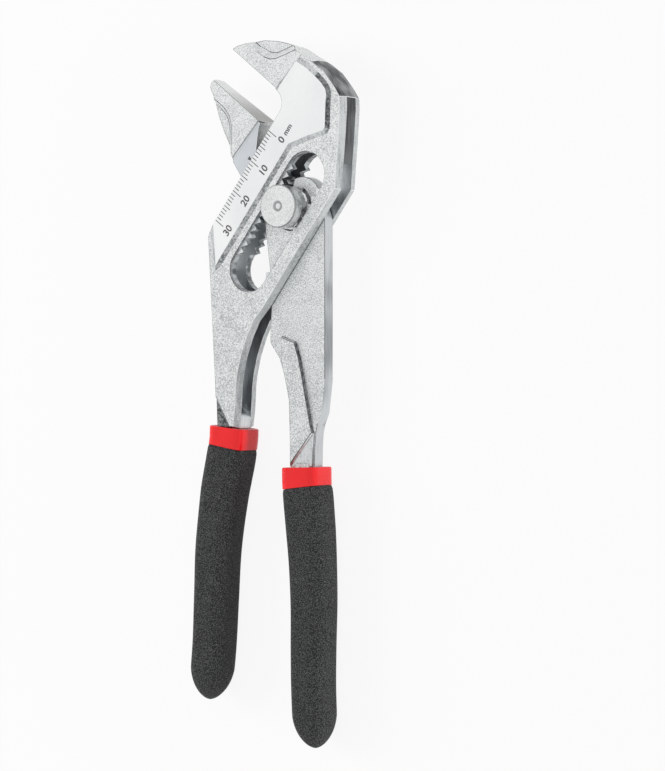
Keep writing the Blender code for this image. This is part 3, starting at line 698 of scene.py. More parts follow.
def new_piece(name: str, points: Points, faces: Sequence[Sequence[int]]) -> Piece:
    """Object at the origin from points and faces, closed, welded and facing outwards.

    Args:
        name: Name of the piece.
        points: Array of n by 3 coordinates in the row's frame.
        faces: Corner numbers of each face.

    Returns:
        The object, linked to the scene.
    """
    mesh = bpy.data.meshes.new(name)
    mesh.from_pydata(np.asarray(points, dtype=float).tolist(), [],
                     [list(map(int, face)) for face in faces])
    weld(mesh, WELD)
    return placed(name, mesh)


def grid_faces(rows: int, columns: int) -> Points:
    """Four-cornered faces of a grid of points, numbered row by row and closed across.

    Formula: the corner of row r and column c has the number r times columns plus c, and the
    last column is joined to the first.

    Args:
        rows: Rows of the grid.
        columns: Points in each row.

    Returns:
        Array of faces by four corner numbers.
    """
    r, c = np.meshgrid(np.arange(rows - 1), np.arange(columns), indexing="ij")
    right = (c + 1) % columns
    return np.stack([r * columns + c, r * columns + right,
                     (r + 1) * columns + right, (r + 1) * columns + c], axis=-1).reshape(-1, 4)


def full_turn(steps: int) -> Points:
    """Angles of a whole turn in even steps, without the last one."""
    return np.linspace(0, 2 * math.pi, steps, endpoint=False)


def squared(wave: Points, power: Union[float, Points]) -> Points:
    """Cosines or sines raised to a power with their signs kept, for a superellipse."""
    return np.sign(wave) * np.abs(wave) ** power


def lofted(name: str, rings: Points) -> Piece:
    """Closed body through rings of points, with a flat cap at each end.

    Formula: the surface runs straight from each point of a ring to its mate on the next.

    Args:
        name: Name of the piece.
        rings: Array of rings by points by 3 coordinates.

    Returns:
        The object.
    """
    rows, columns = rings.shape[:2]
    faces = [list(face) for face in grid_faces(rows, columns)]
    faces.append(list(range(columns))[::-1])
    faces.append(list(range((rows - 1) * columns, rows * columns)))
    return new_piece(name, rings.reshape(-1, 3), faces)


def revolved(name: str, profile: Points, steps: int) -> Piece:
    """Body of a profile turned about the pin's axis.

    Formula: a point of the profile at radius r and height h goes to r times the cosine and
    sine of the turn, at h. A profile that starts off the axis is closed into a ring.

    Args:
        name: Name of the piece.
        profile: Array of n by 2 radii and heights.
        steps: Faces round the axis.

    Returns:
        The object.
    """
    line = profile if profile[0, 0] < 1e-9 else np.vstack([profile, profile[:1]])
    turn = full_turn(steps)
    radius, height = line[:, :1], line[:, 1:]
    points = np.stack([radius * np.cos(turn), radius * np.sin(turn),
                       np.repeat(height, steps, axis=1)], axis=-1) + PIN
    return new_piece(name, points.reshape(-1, 3), grid_faces(len(line), steps))


def rounded(profile: Sequence[Tuple[float, float]], radius: float, steps: int) -> Points:
    """Profile with each inner corner replaced by a small arc.

    Formula: each corner is cut back by the radius on both legs, and the two cuts are joined by
    a parabola whose middle knot is the corner. Both ends stay.

    Args:
        profile: Corners of the profile.
        radius: How far a corner is cut back, at most 0.45 of a leg.
        steps: Steps of each arc.

    Returns:
        Array of n by 2 coordinates.
    """
    line = np.array(profile, dtype=float)
    out = [line[:1]]
    t = np.linspace(0, 1, steps + 1)[:, None]
    for before, corner, after in zip(line[:-2], line[1:-1], line[2:]):
        legs = [before - corner, after - corner]
        cuts = [corner + leg * min(radius / np.linalg.norm(leg), 0.45) for leg in legs]
        out.append((1 - t) ** 2 * cuts[0] + 2 * t * (1 - t) * corner + t ** 2 * cuts[1])
    return np.vstack([*out, line[-1:]])


def swept(name: str, path: Points, radius: float, sides: int, flat: float = 1.0) -> Piece:
    """Tube of a radius along a path, with flat ends.

    Formula: at each point of the path the section is a circle in the plane of the two normals,
    the first of which lies in the plan, squeezed through the thickness by the factor flat.

    Args:
        name: Name of the piece.
        path: Array of n by 3 coordinates.
        radius: Radius of the tube.
        sides: Points round each section.
        flat: Factor on its thickness.

    Returns:
        The object.
    """
    ahead = np.gradient(path, axis=0)
    ahead /= np.linalg.norm(ahead, axis=1)[:, None]
    side = np.stack([-ahead[:, 1], ahead[:, 0], np.zeros(len(path))], axis=1)
    side /= np.linalg.norm(side, axis=1)[:, None]
    up = np.cross(ahead, side)
    turn = full_turn(sides)
    rings = (path[:, None] + radius * np.cos(turn)[None, :, None] * side[:, None]
             + radius * flat * np.sin(turn)[None, :, None] * up[:, None])
    return lofted(name, rings)


def finished(piece: Piece, look: Look, degrees: float) -> Piece:
    """Give a piece one material, smooth shading and sharp edges above an angle."""
    piece.data.materials.append(look)
    return smooth(piece, degrees)


def smooth(piece: Piece, degrees: float) -> Piece:
    """Smooth shading with sharp edges above an angle.

    Args:
        piece: Piece that is changed.
        degrees: Angle above which an edge is sharp.

    Returns:
        The same piece.
    """
    piece.data.shade_smooth()
    piece.data.set_sharp_from_angle(angle=math.radians(degrees))
    return piece


def settle(piece: Piece, body: str, node: Optional[str] = None) -> Piece:
    """Let a piece ride on a body and the place of a node, if any.

    Args:
        piece: Finished piece.
        body: Name of the body.
        node: CAD node that the piece stands for.

    Returns:
        The same piece.
    """
    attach(piece, body)
    if node:
        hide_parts(node)
    return piece


def face_vectors(mesh: bpy.types.Mesh, key: str) -> Points:
    """Centre or normal of every face, as an array of faces by 3 coordinates.

    Args:
        mesh: Mesh to read.
        key: Blender's name of the property.

    Returns:
        Array of faces by 3 coordinates.
    """
    values = np.zeros(len(mesh.polygons) * 3)
    mesh.polygons.foreach_get(key, values)
    return values.reshape(-1, 3)


def mark_borders(mesh: bpy.types.Mesh, kinds: Points) -> None:
    """Keep the edges sharp where two kinds of surface meet.

    Formula: the lowest and highest kind round each edge are compared.

    Args:
        mesh: Mesh of a forged piece.
        kinds: Kind of surface of each of its faces.
    """
    edge_of, total = np.zeros(len(mesh.loops), np.int32), np.zeros(len(mesh.polygons), np.int32)
    mesh.loops.foreach_get("edge_index", edge_of)
    mesh.polygons.foreach_get("loop_total", total)
    kind_of = np.repeat(kinds, total)
    low, high = np.full(len(mesh.edges), len(Surface)), np.full(len(mesh.edges), -1)
    np.minimum.at(low, edge_of, kind_of)
    np.maximum.at(high, edge_of, kind_of)
    sharp = np.zeros(len(mesh.edges), bool)
    mesh.edges.foreach_get("use_edge_sharp", sharp)
    mesh.edges.foreach_set("use_edge_sharp", sharp | (low != high))


# Forged pieces


class Surface(Enum):
    """Kinds of surface on the forged pieces, in the order of their material slots."""

    PLATED = 0
    PAD = 1
    BAND = 2
    RIM = 3
    GROUND = 4
    DRAFT = 5
    TOOTH = 6
    FACE = 7
    WEB = 8
    LEDGE = 9
    CURVE = 10
    INSIDE = 11
    HOLLOW = 12
    EDGE = 13
    LINE = 14


@dataclass(frozen=True)
class ForgedLooks:
    """The finishes of the forged pieces, one for each kind of surface."""

    finishes: Dict[Surface, Finish] = field(default_factory=lambda: {
        Surface.PLATED: PlatedForging(),
        Surface.PAD: SmoothPad(),
        Surface.BAND: MottledBand(),
        # Dark copy of the mottled band for borders that face right: painted shade over the mottled
        # plating.
        Surface.RIM: MottledBand("dark_rim", linear(150, 153, 154), linear(62, 65, 67), 1300.0),
        Surface.GROUND: GroundSteel(),
        Surface.DRAFT: DraftSide(),
        Surface.TOOTH: ToothSteel(),
        Surface.FACE: GrippingFace(),
        Surface.WEB: SmoothPad("jaw_web", linear(214, 218, 222), linear(198, 203, 208)),
        # Pale ledges of the racks; on the sliding jaw's wall beside the ruler this finish is painted
        # light.
        Surface.LEDGE: SmoothPad("tooth_ledge", linear(240, 242, 243), linear(196, 200, 202)),
        # Darker copy for ground faces up the spine that face right: ground steel with painted dark
        # reflection.
        Surface.CURVE: GroundSteel("ground_curve", linear(158, 161, 162), linear(44, 46, 48), 165.0),
        # Paler copy of the ground finish on the land between the necks: painted light for the shade
        # there.
        Surface.INSIDE: GroundSteel("inner_flank", linear(236, 239, 241), linear(204, 208, 210)),
        # Grey copy of the ground finish for the cavity and the inner arm's head flanks: painted half
        # shade.
        Surface.HOLLOW: GroundSteel("hollow_wall", linear(206, 209, 211), linear(146, 150, 153)),
        # Painted highlight on broken edges that face right, and painted shade on the others and in
        # the slot.
        Surface.EDGE: SmoothPad("bright_edge", linear(240, 241, 241), linear(206, 208, 209), 0.24),
        Surface.LINE: SmoothPad("dark_edge", linear(116, 119, 121), linear(62, 65, 67), 0.3),
    })

    def make(self) -> List[Look]:
        """Materials in the order of the surfaces."""
        return [self.finishes[kind].make() for kind in Surface]


class Faces(NamedTuple):
    """Places and facings of the faces of a forged piece, one entry for each face."""

    along: Points
    across: Points
    level: Points
    y: Points
    normals: Points
    lean: Points

    @classmethod
    def of(cls, mesh: bpy.types.Mesh) -> "Faces":
        """Measure a mesh; lean is the normal's share through the thickness, without sign.

        Args:
            mesh: Mesh of a forged piece.

        Returns:
            The measured faces.
        """
        along, across, height = tool_places(face_vectors(mesh, "center")).T
        normals = face_vectors(mesh, "normal")
        return cls(along, across, np.abs(height), plan(along, across)[1], normals,
                   np.abs(normals[:, 2]))

    @property
    def flat(self) -> Points:
        """Faces that lie in the plan."""
        return self.lean > 0.995

    @property
    def upright(self) -> Points:
        """Faces that stand on the plan."""
        return self.lean < 0.05

    @property
    def steep(self) -> Points:
        """Faces that are more of a side than of a face."""
        return self.lean < 0.6

    def at_level(self, level: float) -> Points:
        """Faces that lie at a level."""
        return np.abs(self.level - level) < SLACK

    def in_slot(self, spare: float, ends: Tuple[float, float]) -> Points:
        """Faces within the slot's half width and a spare, between two places along it."""
        return ((np.abs(self.across) < SLOT_HALF + spare) & (self.along > ends[0])
                & (self.along < ends[1]))


# A face that no mask holds is plated, and the last of the masks that hold it wins.
Rules = List[Tuple[Points, Surface]]


@dataclass
class ForgedPiece:
    """A forged solid: merged copy of its node with bevelled edges and sorted surfaces.

    Each zone of bare holds the ends along, across and of the level between which edges stay
    sharp. Broken edges get a painted highlight where their normal's x is above bright_turn outside
    the slot, and painted shade elsewhere. An edge next to a bevelled one is at least room times
    the bevel long. Angles are in degrees.
    """

    node: str
    body: str
    slot: str
    bevel: float = 0.00013
    room: float = 2.6
    sharp: float = 24.0
    merged: float = 3e-6
    sliver: float = 5e-6
    level_turn: float = 0.7
    most_corners: int = 30
    bare: Tuple[Tuple[float, ...], ...] = ()
    bright_turn: float = 0.25

    def in_bare_zone(self, edge: bmesh.types.BMEdge) -> bool:
        """Tell whether an edge lies where edges stay sharp.

        Args:
            edge: Edge of the welded copy.

        Returns:
            True where no bevel goes.
        """
        middle = np.array((edge.verts[0].co + edge.verts[1].co) / 2)
        along, across, height = tool_places(middle[None])[0]
        return any(zone[0] < along < zone[1] and zone[2] < across < zone[3]
                   and zone[4] < abs(height) < zone[5] for zone in self.bare)

    def takes_bevel(self, edge: bmesh.types.BMEdge, least: float) -> bool:
        """Tell whether an edge is sharp, free and long enough for the bevel.

        Args:
            edge: Edge of the welded copy.
            least: Shortest edge that may touch a bevelled one.

        Returns:
            True where the bevel has room on both sides.
        """
        if len(edge.link_faces) != 2 or edge.calc_face_angle(0.0) < math.radians(self.sharp):
            return False
        if any(near.calc_length() < least for end in edge.verts for near in end.link_edges):
            return False
        if any(face.calc_area() < self.bevel * face.calc_perimeter() for face in edge.link_faces):
            return False
        return not self.in_bare_zone(edge)

    def copy_mesh(self) -> bpy.types.Mesh:
        """Welded copy of the node's mesh, with its flats made whole and its edges weighted.

        Returns:
            The new mesh.
        """
        shape = bmesh.new()
        shape.from_mesh(frame["nodes"][self.node].data)
        bmesh.ops.remove_doubles(shape, verts=shape.verts, dist=self.merged)
        bmesh.ops.dissolve_degenerate(shape, edges=shape.edges, dist=self.sliver)
        bmesh.ops.dissolve_limit(shape, angle_limit=math.radians(self.level_turn),
                                 verts=shape.verts, edges=shape.edges)
        weight = shape.edges.layers.float.new("bevel_weight_edge")
        for edge in shape.edges:
            edge[weight] = float(self.takes_bevel(edge, self.bevel * self.room))
        bmesh.ops.triangulate(shape, faces=[face for face in shape.faces
                                            if len(face.verts) > self.most_corners])
        mesh = bpy.data.meshes.new(self.node + "_skin")
        shape.to_mesh(mesh)
        shape.free()
        return mesh

    def rules(self, at: Faces) -> Rules:
        """Masks of the faces with their kinds of surface; each forged piece has its own."""
        raise NotImplementedError

    def build(self, looks: List[Look]) -> Piece:
        """Make the piece, sort its faces, bevel it and put it in the node's place.

        Args:
            looks: Materials in the order of the surfaces.

        Returns:
            The finished piece.
        """
        mesh = self.copy_mesh()
        piece = placed(self.node + "_skin", mesh)
        kinds = np.full(len(mesh.polygons), Surface.PLATED.value)
        for held, kind in self.rules(Faces.of(mesh)):
            kinds[held] = kind.value
        for look in looks:
            mesh.materials.append(look)
        mesh.polygons.foreach_set("material_index", kinds.astype(np.int32))
        smooth(piece, self.sharp)
        mark_borders(mesh, kinds)
        step = piece.modifiers.new("edges", "BEVEL")
        step.width = self.bevel
        step.segments = 2
        step.limit_method = "WEIGHT"
        step.use_clamp_overlap = False
        step.harden_normals = True
        # The bevel's faces start with the painted highlight; those that face away get painted shade
        # below.
        step.material = Surface.EDGE.value
        shown = piece.evaluated_get(bpy.context.evaluated_depsgraph_get())
        piece.data = bpy.data.meshes.new_from_object(shown)
        piece.modifiers.clear()
        self.paint_edge_shade(piece.data)
        return settle(piece, self.body, self.node)

    def paint_edge_shade(self, mesh: bpy.types.Mesh) -> None:
        """Paint shade on the broken edges that don't face the light side, and on those of the slot.

        Args:
            mesh: Mesh of the bevelled piece.
        """
        kinds, at = np.zeros(len(mesh.polygons), np.int32), Faces.of(mesh)
        mesh.polygons.foreach_get("material_index", kinds)
        dark = at.in_slot(4 * SLACK, LINE_ENDS) | (at.normals[:, 0] < self.bright_turn)
        # Painted shade in place of the painted highlight.
        kinds[(kinds == Surface.EDGE.value) & dark] = Surface.LINE.value
        mesh.polygons.foreach_set("material_index", kinds)


@dataclass
class OuterArm(ForgedPiece):
    """Outer arm with the fixed jaw, ruler pad, slot and neck."""

    node: str = "outer_arm"
    body: str = "outer"
    slot: str = "forged_steel"
    bare: Tuple[Tuple[float, ...], ...] = ((-0.031, 0.0185, -0.0068, 0.0068, 0.0, 0.0043),)
    ground_from: float = 0.0285
    ground_turn: float = 0.55
    step_level: float = 0.0044
    band_from: float = 0.2
    rim_from: float = 0.24
    band_tilt: float = -0.1

    def rules(self, at: Faces) -> Rules:
        """Pads by height, racks by their layer, land and draft by height on the outside.

        Args:
            at: Places and facings of the faces.

        Returns:
            Masks with their kinds of surface.
        """
        east, north = at.normals[:, 0], at.normals[:, 1]
        border = ~at.flat & ~at.upright & (at.level > HALF_BODY - SLACK)
        in_slot = at.in_slot(2 * SLACK, SLOT_ENDS)
        side = at.steep & ~in_slot & (at.level < HALF_BODY)
        land = side & at.upright & (at.level < HALF_LAND)
        above = side & (at.y > self.ground_from)
        return [
            (at.flat & (at.level > HALF_PAD - SLACK), Surface.PAD),
            (border, Surface.DRAFT),
            # Borders that face right take the mottled finishes, darkest where they also face up:
            # painted shade.
            (border & (east > self.band_from) & (north < self.band_tilt), Surface.BAND),
            (border & (east > self.rim_from) & (north > self.band_tilt), Surface.RIM),
            # The cavity's floor takes the grey hollow copy: painted half shade.
            (at.flat & at.at_level(HALF_CAVITY), Surface.HOLLOW),
            # The step near the collar takes the dark rim: painted shade.
            (at.flat & at.at_level(self.step_level), Surface.RIM),
            (in_slot & at.upright & (at.level > RACK_OUTER - SLACK), Surface.BAND),
            # Rack flanks in the slot: milled steel, dark partly as painted shade.
            (in_slot & at.upright & (at.level < RACK_OUTER + SLACK), Surface.TOOTH),
            (in_slot & at.flat & at.at_level(RACK_OUTER), Surface.LEDGE),
            (side & ~at.upright, Surface.DRAFT),
            (land, Surface.GROUND),
            # The land between the necks takes the paler copy: painted light for the other neck's
            # shade.
            (land & (at.y < NECK_TOP), Surface.INSIDE),
            # Ground faces up the spine that face right are darker: painted dark reflection.
            (above & (east > self.ground_turn), Surface.CURVE),
            (above & (east <= self.ground_turn), Surface.PLATED),
            ((at.normals @ -UP_SLOT > FACING) & (at.across < RULER_EDGE), Surface.FACE),
            (at.upright & (np.abs(at.across - RULER_EDGE) < 3 * SLACK), Surface.FACE),
        ]


@dataclass
class InnerArm(ForgedPiece):
    """Inner arm: bored head, plate and thicker neck."""

    node: str = "inner_arm"
    body: str = "inner"
    slot: str = "forged_steel"
    bare: Tuple[Tuple[float, ...], ...] = ((-0.060, -0.030, 0.020, 0.042, 0.0, 0.0021),
                                           (-0.070, -0.065, 0.058, 0.061, 0.0, 0.0028))
    step_level: float = 0.0024
    step_below: float = -0.055
    # Above any normal's x: every broken edge of the inner arm gets painted shade.
    bright_turn: float = 2.0
    ridge: Tuple[float, float] = (0.00205, 0.00295)
    ridge_end: float = -0.0675
    lit_turn: float = 0.3

    def rules(self, at: Faces) -> Rules:
        """Plated faces, head flanks in painted half shade, streaked neck flanks and a ridge of
        painted shade.

        Args:
            at: Places and facings of the faces.

        Returns:
            Masks with their kinds of surface.
        """
        sloping, neck = at.steep & ~at.upright, at.upright & (at.y <= NECK_TOP)
        lit = at.normals[:, 0] > self.lit_turn
        ridge = (sloping & (at.level > self.ridge[0]) & (at.level < self.ridge[1])
                 & (at.y > self.ridge_end))
        return [
            (sloping, Surface.DRAFT),
            # Head flanks take the grey hollow copy of the ground finish: painted half shade.
            (at.upright & (at.y > NECK_TOP), Surface.HOLLOW),
            (neck, Surface.DRAFT),
            # Neck flanks that face right take it too, for its streaks.
            (neck & lit, Surface.HOLLOW),
            # The ridge's slope that faces right is dark: painted shade.
            (ridge & lit, Surface.RIM),
            (at.at_level(self.step_level) & (at.y < self.step_below), Surface.DRAFT),
        ]


@dataclass
class SlidingJaw(ForgedPiece):
    """Sliding jaw: head, web beside the ruler and toothed tail."""

    node: str = "sliding_jaw"
    body: str = "jaw"
    slot: str = "jaw_steel"
    wall_from: float = 0.5
    wall_level: float = 0.0012
    wall_across: float = -0.018

    def rules(self, at: Faces) -> Rules:
        """Smooth web, ground gripping face, wall beside the ruler bright with painted light, and
        dark tail.

        Args:
            at: Places and facings of the faces.

        Returns:
            Masks with their kinds of surface.
        """
        wall = (at.normals @ OVER_SLOT > self.wall_from) & (at.level > self.wall_level)
        return [
            (at.flat & at.at_level(HALF_WEB), Surface.WEB),
            ((at.normals @ UP_SLOT > FACING) & (at.across < RULER_EDGE), Surface.FACE),
            # The wall beside the ruler takes the pale ledge finish: painted light for the narrow
            # gap's shade.
            (wall & (at.across < self.wall_across), Surface.LEDGE),
            # The tail's flanks take the dark tooth finish, partly painted shade.
            (at.upright & (at.across > RULER_EDGE + 5 * SLACK), Surface.TOOTH),
        ]


# Pin, bush, ring and spring


@dataclass(frozen=True)
class BushSizes:
    """Radii of the bush, and its heights from the middle of the thickness."""

    bore: float = 0.0014
    recess: float = 0.0031
    mouth: float = 0.0034
    flange: float = 0.00605
    boss: float = 0.00445
    sleeve: float = 0.0035
    well: float = 0.00275
    floor_under: float = -0.0032
    floor_over: float = -0.0026
    flange_top: float = -0.0045
    boss_top: float = -0.0023
    broken: float = 0.00008

    def outline(self, bottom: float, top: float) -> List[Tuple[float, float]]:
        """Corners from the bore's floor round the flange, boss and sleeve and down the well.

        Args:
            bottom: Height of the flange's outer face.
            top: Height of the sleeve's end.

        Returns:
            Radii and heights.
        """
        return [
            (self.bore, self.floor_under), (self.recess, self.floor_under), (self.mouth, bottom),
            (self.flange, bottom), (self.flange, self.flange_top), (self.boss, self.flange_top),
            (self.boss, self.boss_top), (self.sleeve, self.boss_top), (self.sleeve, top),
            (self.well, top), (self.well, self.floor_over), (self.bore, self.floor_over),
            (self.bore, (self.floor_under + self.floor_over) / 2)]


@dataclass
class PinSet:
    """Button and pin, their bush, ring and spring."""

    button_radius: float = 0.0059
    face: float = 0.0089
    rim: float = 0.00045
    dimple: float = 0.0015
    dimple_depth: float = 0.0004
    lip: float = 0.00005
    lip_shares: Tuple[float, float, float] = (1.22, 1.5, 1.6)
    stem: float = 0.0030
    cut_at: float = 0.0059
    overlap: float = 0.00015
    bush_sizes: BushSizes = BushSizes()
    ring_radii: Tuple[float, float] = (0.00105, 0.0025)
    ring_mouth: float = math.radians(50.0)
    ring_power: float = 0.35
    spring_wire: float = 0.00015
    spring_turns: float = 3.0
    spring_ease: float = 0.03
    travel: float = 0.00125

    def button(self, look: Look) -> Piece:
        """Button head: a turned cap with a rounded rim and a dimple with a small ring.

        Formula: the profile runs down the rounded side, and the dimple is a cosine bowl.

        Args:
            look: Finish of the steel.

        Returns:
            The button's head.
        """
        share, foot = np.linspace(0, 1, 9), self.cut_at - self.overlap
        bowl = np.stack([self.dimple * share,
                         self.face - self.dimple_depth * (1 + np.cos(math.pi * share)) / 2],
                        axis=1)
        crest, foot_in, start = (self.dimple * share for share in self.lip_shares)
        lip = [(crest, self.face + self.lip), (foot_in, self.face)]
        side = rounded([(start, self.face), (self.button_radius, self.face),
                        (self.button_radius, foot), (self.stem, foot)], self.rim, 6)
        profile = np.vstack([bowl, lip, side, [[0.0, foot]]])
        piece = finished(revolved("button_head", profile, 96), look, 32.0)
        # The dimple's wall and the broken rim get painted shade.
        self.paint_ring_shade(piece, SmoothPad("button_ring", linear(176, 179, 179),
                                           linear(128, 131, 131), 0.35).make())
        return piece

    def paint_ring_shade(self, piece: Piece, look: Look) -> None:
        """Paint shade on the dimple's wall and the broken rim of the button.

        Args:
            piece: The button's head.
            look: Material of the painted shade.
        """
        mesh = piece.data
        mesh.materials.append(look)
        x, y, z = face_vectors(mesh, "center").T
        radius = np.hypot(x - PIN[0], y - PIN[1])
        # Painted shade where shade falls: the dimple's wall and the rounded rim.
        wall = (radius > self.dimple * 0.5) & (radius < self.dimple)
        broken = (radius > self.button_radius - self.rim * 0.8) & (
            z > PIN[2] + self.face - self.rim)
        mesh.polygons.foreach_set("material_index", (wall | broken).astype(np.int32))

    def pin(self, look: Look) -> Piece:
        """Pin below the button: the node's solid cut off square under the button's face.

        Args:
            look: Finish of the steel.

        Returns:
            The pin and its stem.
        """
        shape = bmesh.new()
        shape.from_mesh(frame["nodes"]["push_button_pin"].data)
        bmesh.ops.remove_doubles(shape, verts=shape.verts, dist=10 * WELD)
        bmesh.ops.bisect_plane(
            shape, geom=shape.verts[:] + shape.edges[:] + shape.faces[:],
            plane_co=Vector((0, 0, PIN[2] + self.cut_at)), plane_no=Vector((0, 0, 1)),
            clear_outer=True)
        bmesh.ops.holes_fill(shape, edges=[e for e in shape.edges if e.is_boundary])
        bmesh.ops.recalc_face_normals(shape, faces=shape.faces)
        mesh = bpy.data.meshes.new("locking_pin")
        shape.to_mesh(mesh)
        shape.free()
        return finished(placed("locking_pin", mesh), look, 32.0)

    def bush(self, look: Look) -> Piece:
        """Bush: the node's profile turned finer.

        Formula: each corner of its outline is broken, and the outline turns about the axis.

        Args:
            look: Finish of the steel.

        Returns:
            The bush.
        """
        low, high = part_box("rear_bush")
        outline = self.bush_sizes.outline(low.z - PIN[2], high.z - PIN[2])
        return finished(revolved("rear_bush_turned", rounded(outline, self.bush_sizes.broken, 2),
                                 72), look, 32.0)

    def ring(self, look: Look) -> Piece:
        """Open ring of flat wire.

        Formula: a rounded flat section carried round the stem from lip to lip of its mouth.

        Args:
            look: Finish of the steel.

        Returns:
            The ring.
        """
        low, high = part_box("retaining_ring")
        turn = np.linspace(self.ring_mouth / 2, 2 * math.pi - self.ring_mouth / 2, 57)
        inner, outer = self.ring_radii
        corner = full_turn(16)
        radius = (inner + outer) / 2 + (outer - inner) / 2 * squared(
            np.cos(corner), self.ring_power)[None, :]
        height = (low.z + high.z) / 2 + (high.z - low.z) / 2 * squared(
            np.sin(corner), self.ring_power)[None, :]
        rings = np.stack([PIN[0] + radius * np.cos(turn)[:, None],
                          PIN[1] + radius * np.sin(turn)[:, None],
                          np.broadcast_to(height, (len(turn), len(corner)))], axis=-1)
        return finished(lofted("open_ring", rings), look, 40.0)

    def spring(self, look: Look) -> Piece:
        """Coil round the stem.

        Formula: a helix whose height grows evenly, and slower in its first and last half turn.

        Args:
            look: Finish of the steel.

        Returns:
            The coil.
        """
        low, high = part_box("button_spring")
        mean = (high.x - low.x) / 2 - self.spring_wire
        t = np.linspace(0, 1, int(self.spring_turns * 28) + 1)
        turn = 2 * math.pi * self.spring_turns * t
        eased = t - np.sin(2 * math.pi * t) * self.spring_ease
        height = low.z + self.spring_wire + (high.z - low.z - 2 * self.spring_wire) * eased
        path = np.stack([PIN[0] + mean * np.cos(turn), PIN[1] + mean * np.sin(turn), height],
                        axis=1)
        return finished(swept("spring_coil", path, self.spring_wire, 10), look, 50.0)

    def build(self) -> List[Piece]:
        """Make the set and put every piece in its node's place; the coil gets a mesh of its own.

        Returns:
            The five pieces.
        """
        bright, drawn = BrightTurned().make(), DrawnSteel().make()
        made = [
            settle(self.button(bright), "pin"),
            settle(self.pin(bright), "pin", "push_button_pin"),
            settle(self.bush(bright), "carrier", "rear_bush"),
            settle(self.ring(drawn), "pin", "retaining_ring"),
            settle(self.spring(drawn), "carrier", "button_spring")]
        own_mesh(made[-1])
        return made


@dataclass
class ForgingMark:
    """Faint raised line on the inner arm's face: the lower half of a long loop."""

    centre: Tuple[float, float] = (0.0020, -0.0197)
    radius: float = 0.0068
    top: float = -0.0085
    knee: float = 1.5
    bead: float = 0.00030
    flat: float = 0.4
    face_height: float = 0.0020
    proud: float = 0.00005

    def build(self, look: Look) -> Piece:
        """Sweep a flat bead down one side, round the foot and up the other side.

        Formula: two straight lines joined by half a circle, in the plane of the face.

        Args:
            look: Finish of the inner arm.

        Returns:
            The bead.
        """
        turn = np.linspace(math.pi, 2 * math.pi, 33)
        x = self.centre[0] + self.radius * np.cos(turn)
        y = self.centre[1] + self.radius * np.sin(turn)
        x = np.concatenate([[x[0], x[0]], x, [x[-1], x[-1]]])
        y = np.concatenate([[self.top, self.top * self.knee], y,
                            [self.top * self.knee, self.top]])
        height = self.face_height + self.proud - self.bead * self.flat
        path = np.stack([x, y, np.full_like(x, height)], axis=1) + PIN
        bead = swept("forging_mark", path, self.bead, 12, self.flat)
        return settle(finished(bead, look, 60.0), "inner")


# Handles


LEFT_SHARES = ((-0.338, -0.960), (-0.343, -1.000), (-0.345, -1.046), (-0.361, -1.136),
               (-0.381, -1.225), (-0.399, -1.315), (-0.430, -1.541), (-0.442, -1.765),
               (-0.454, -1.992), (-0.476, -2.206), (-0.484, -2.300))
RIGHT_SHARES = ((0.049, -0.960), (0.050, -1.000), (0.051, -1.056), (0.058, -1.118),
                (0.075, -1.310), (0.083, -1.500), (0.081, -1.693), (0.082, -1.847),
                (0.092, -2.056), (0.096, -2.100))


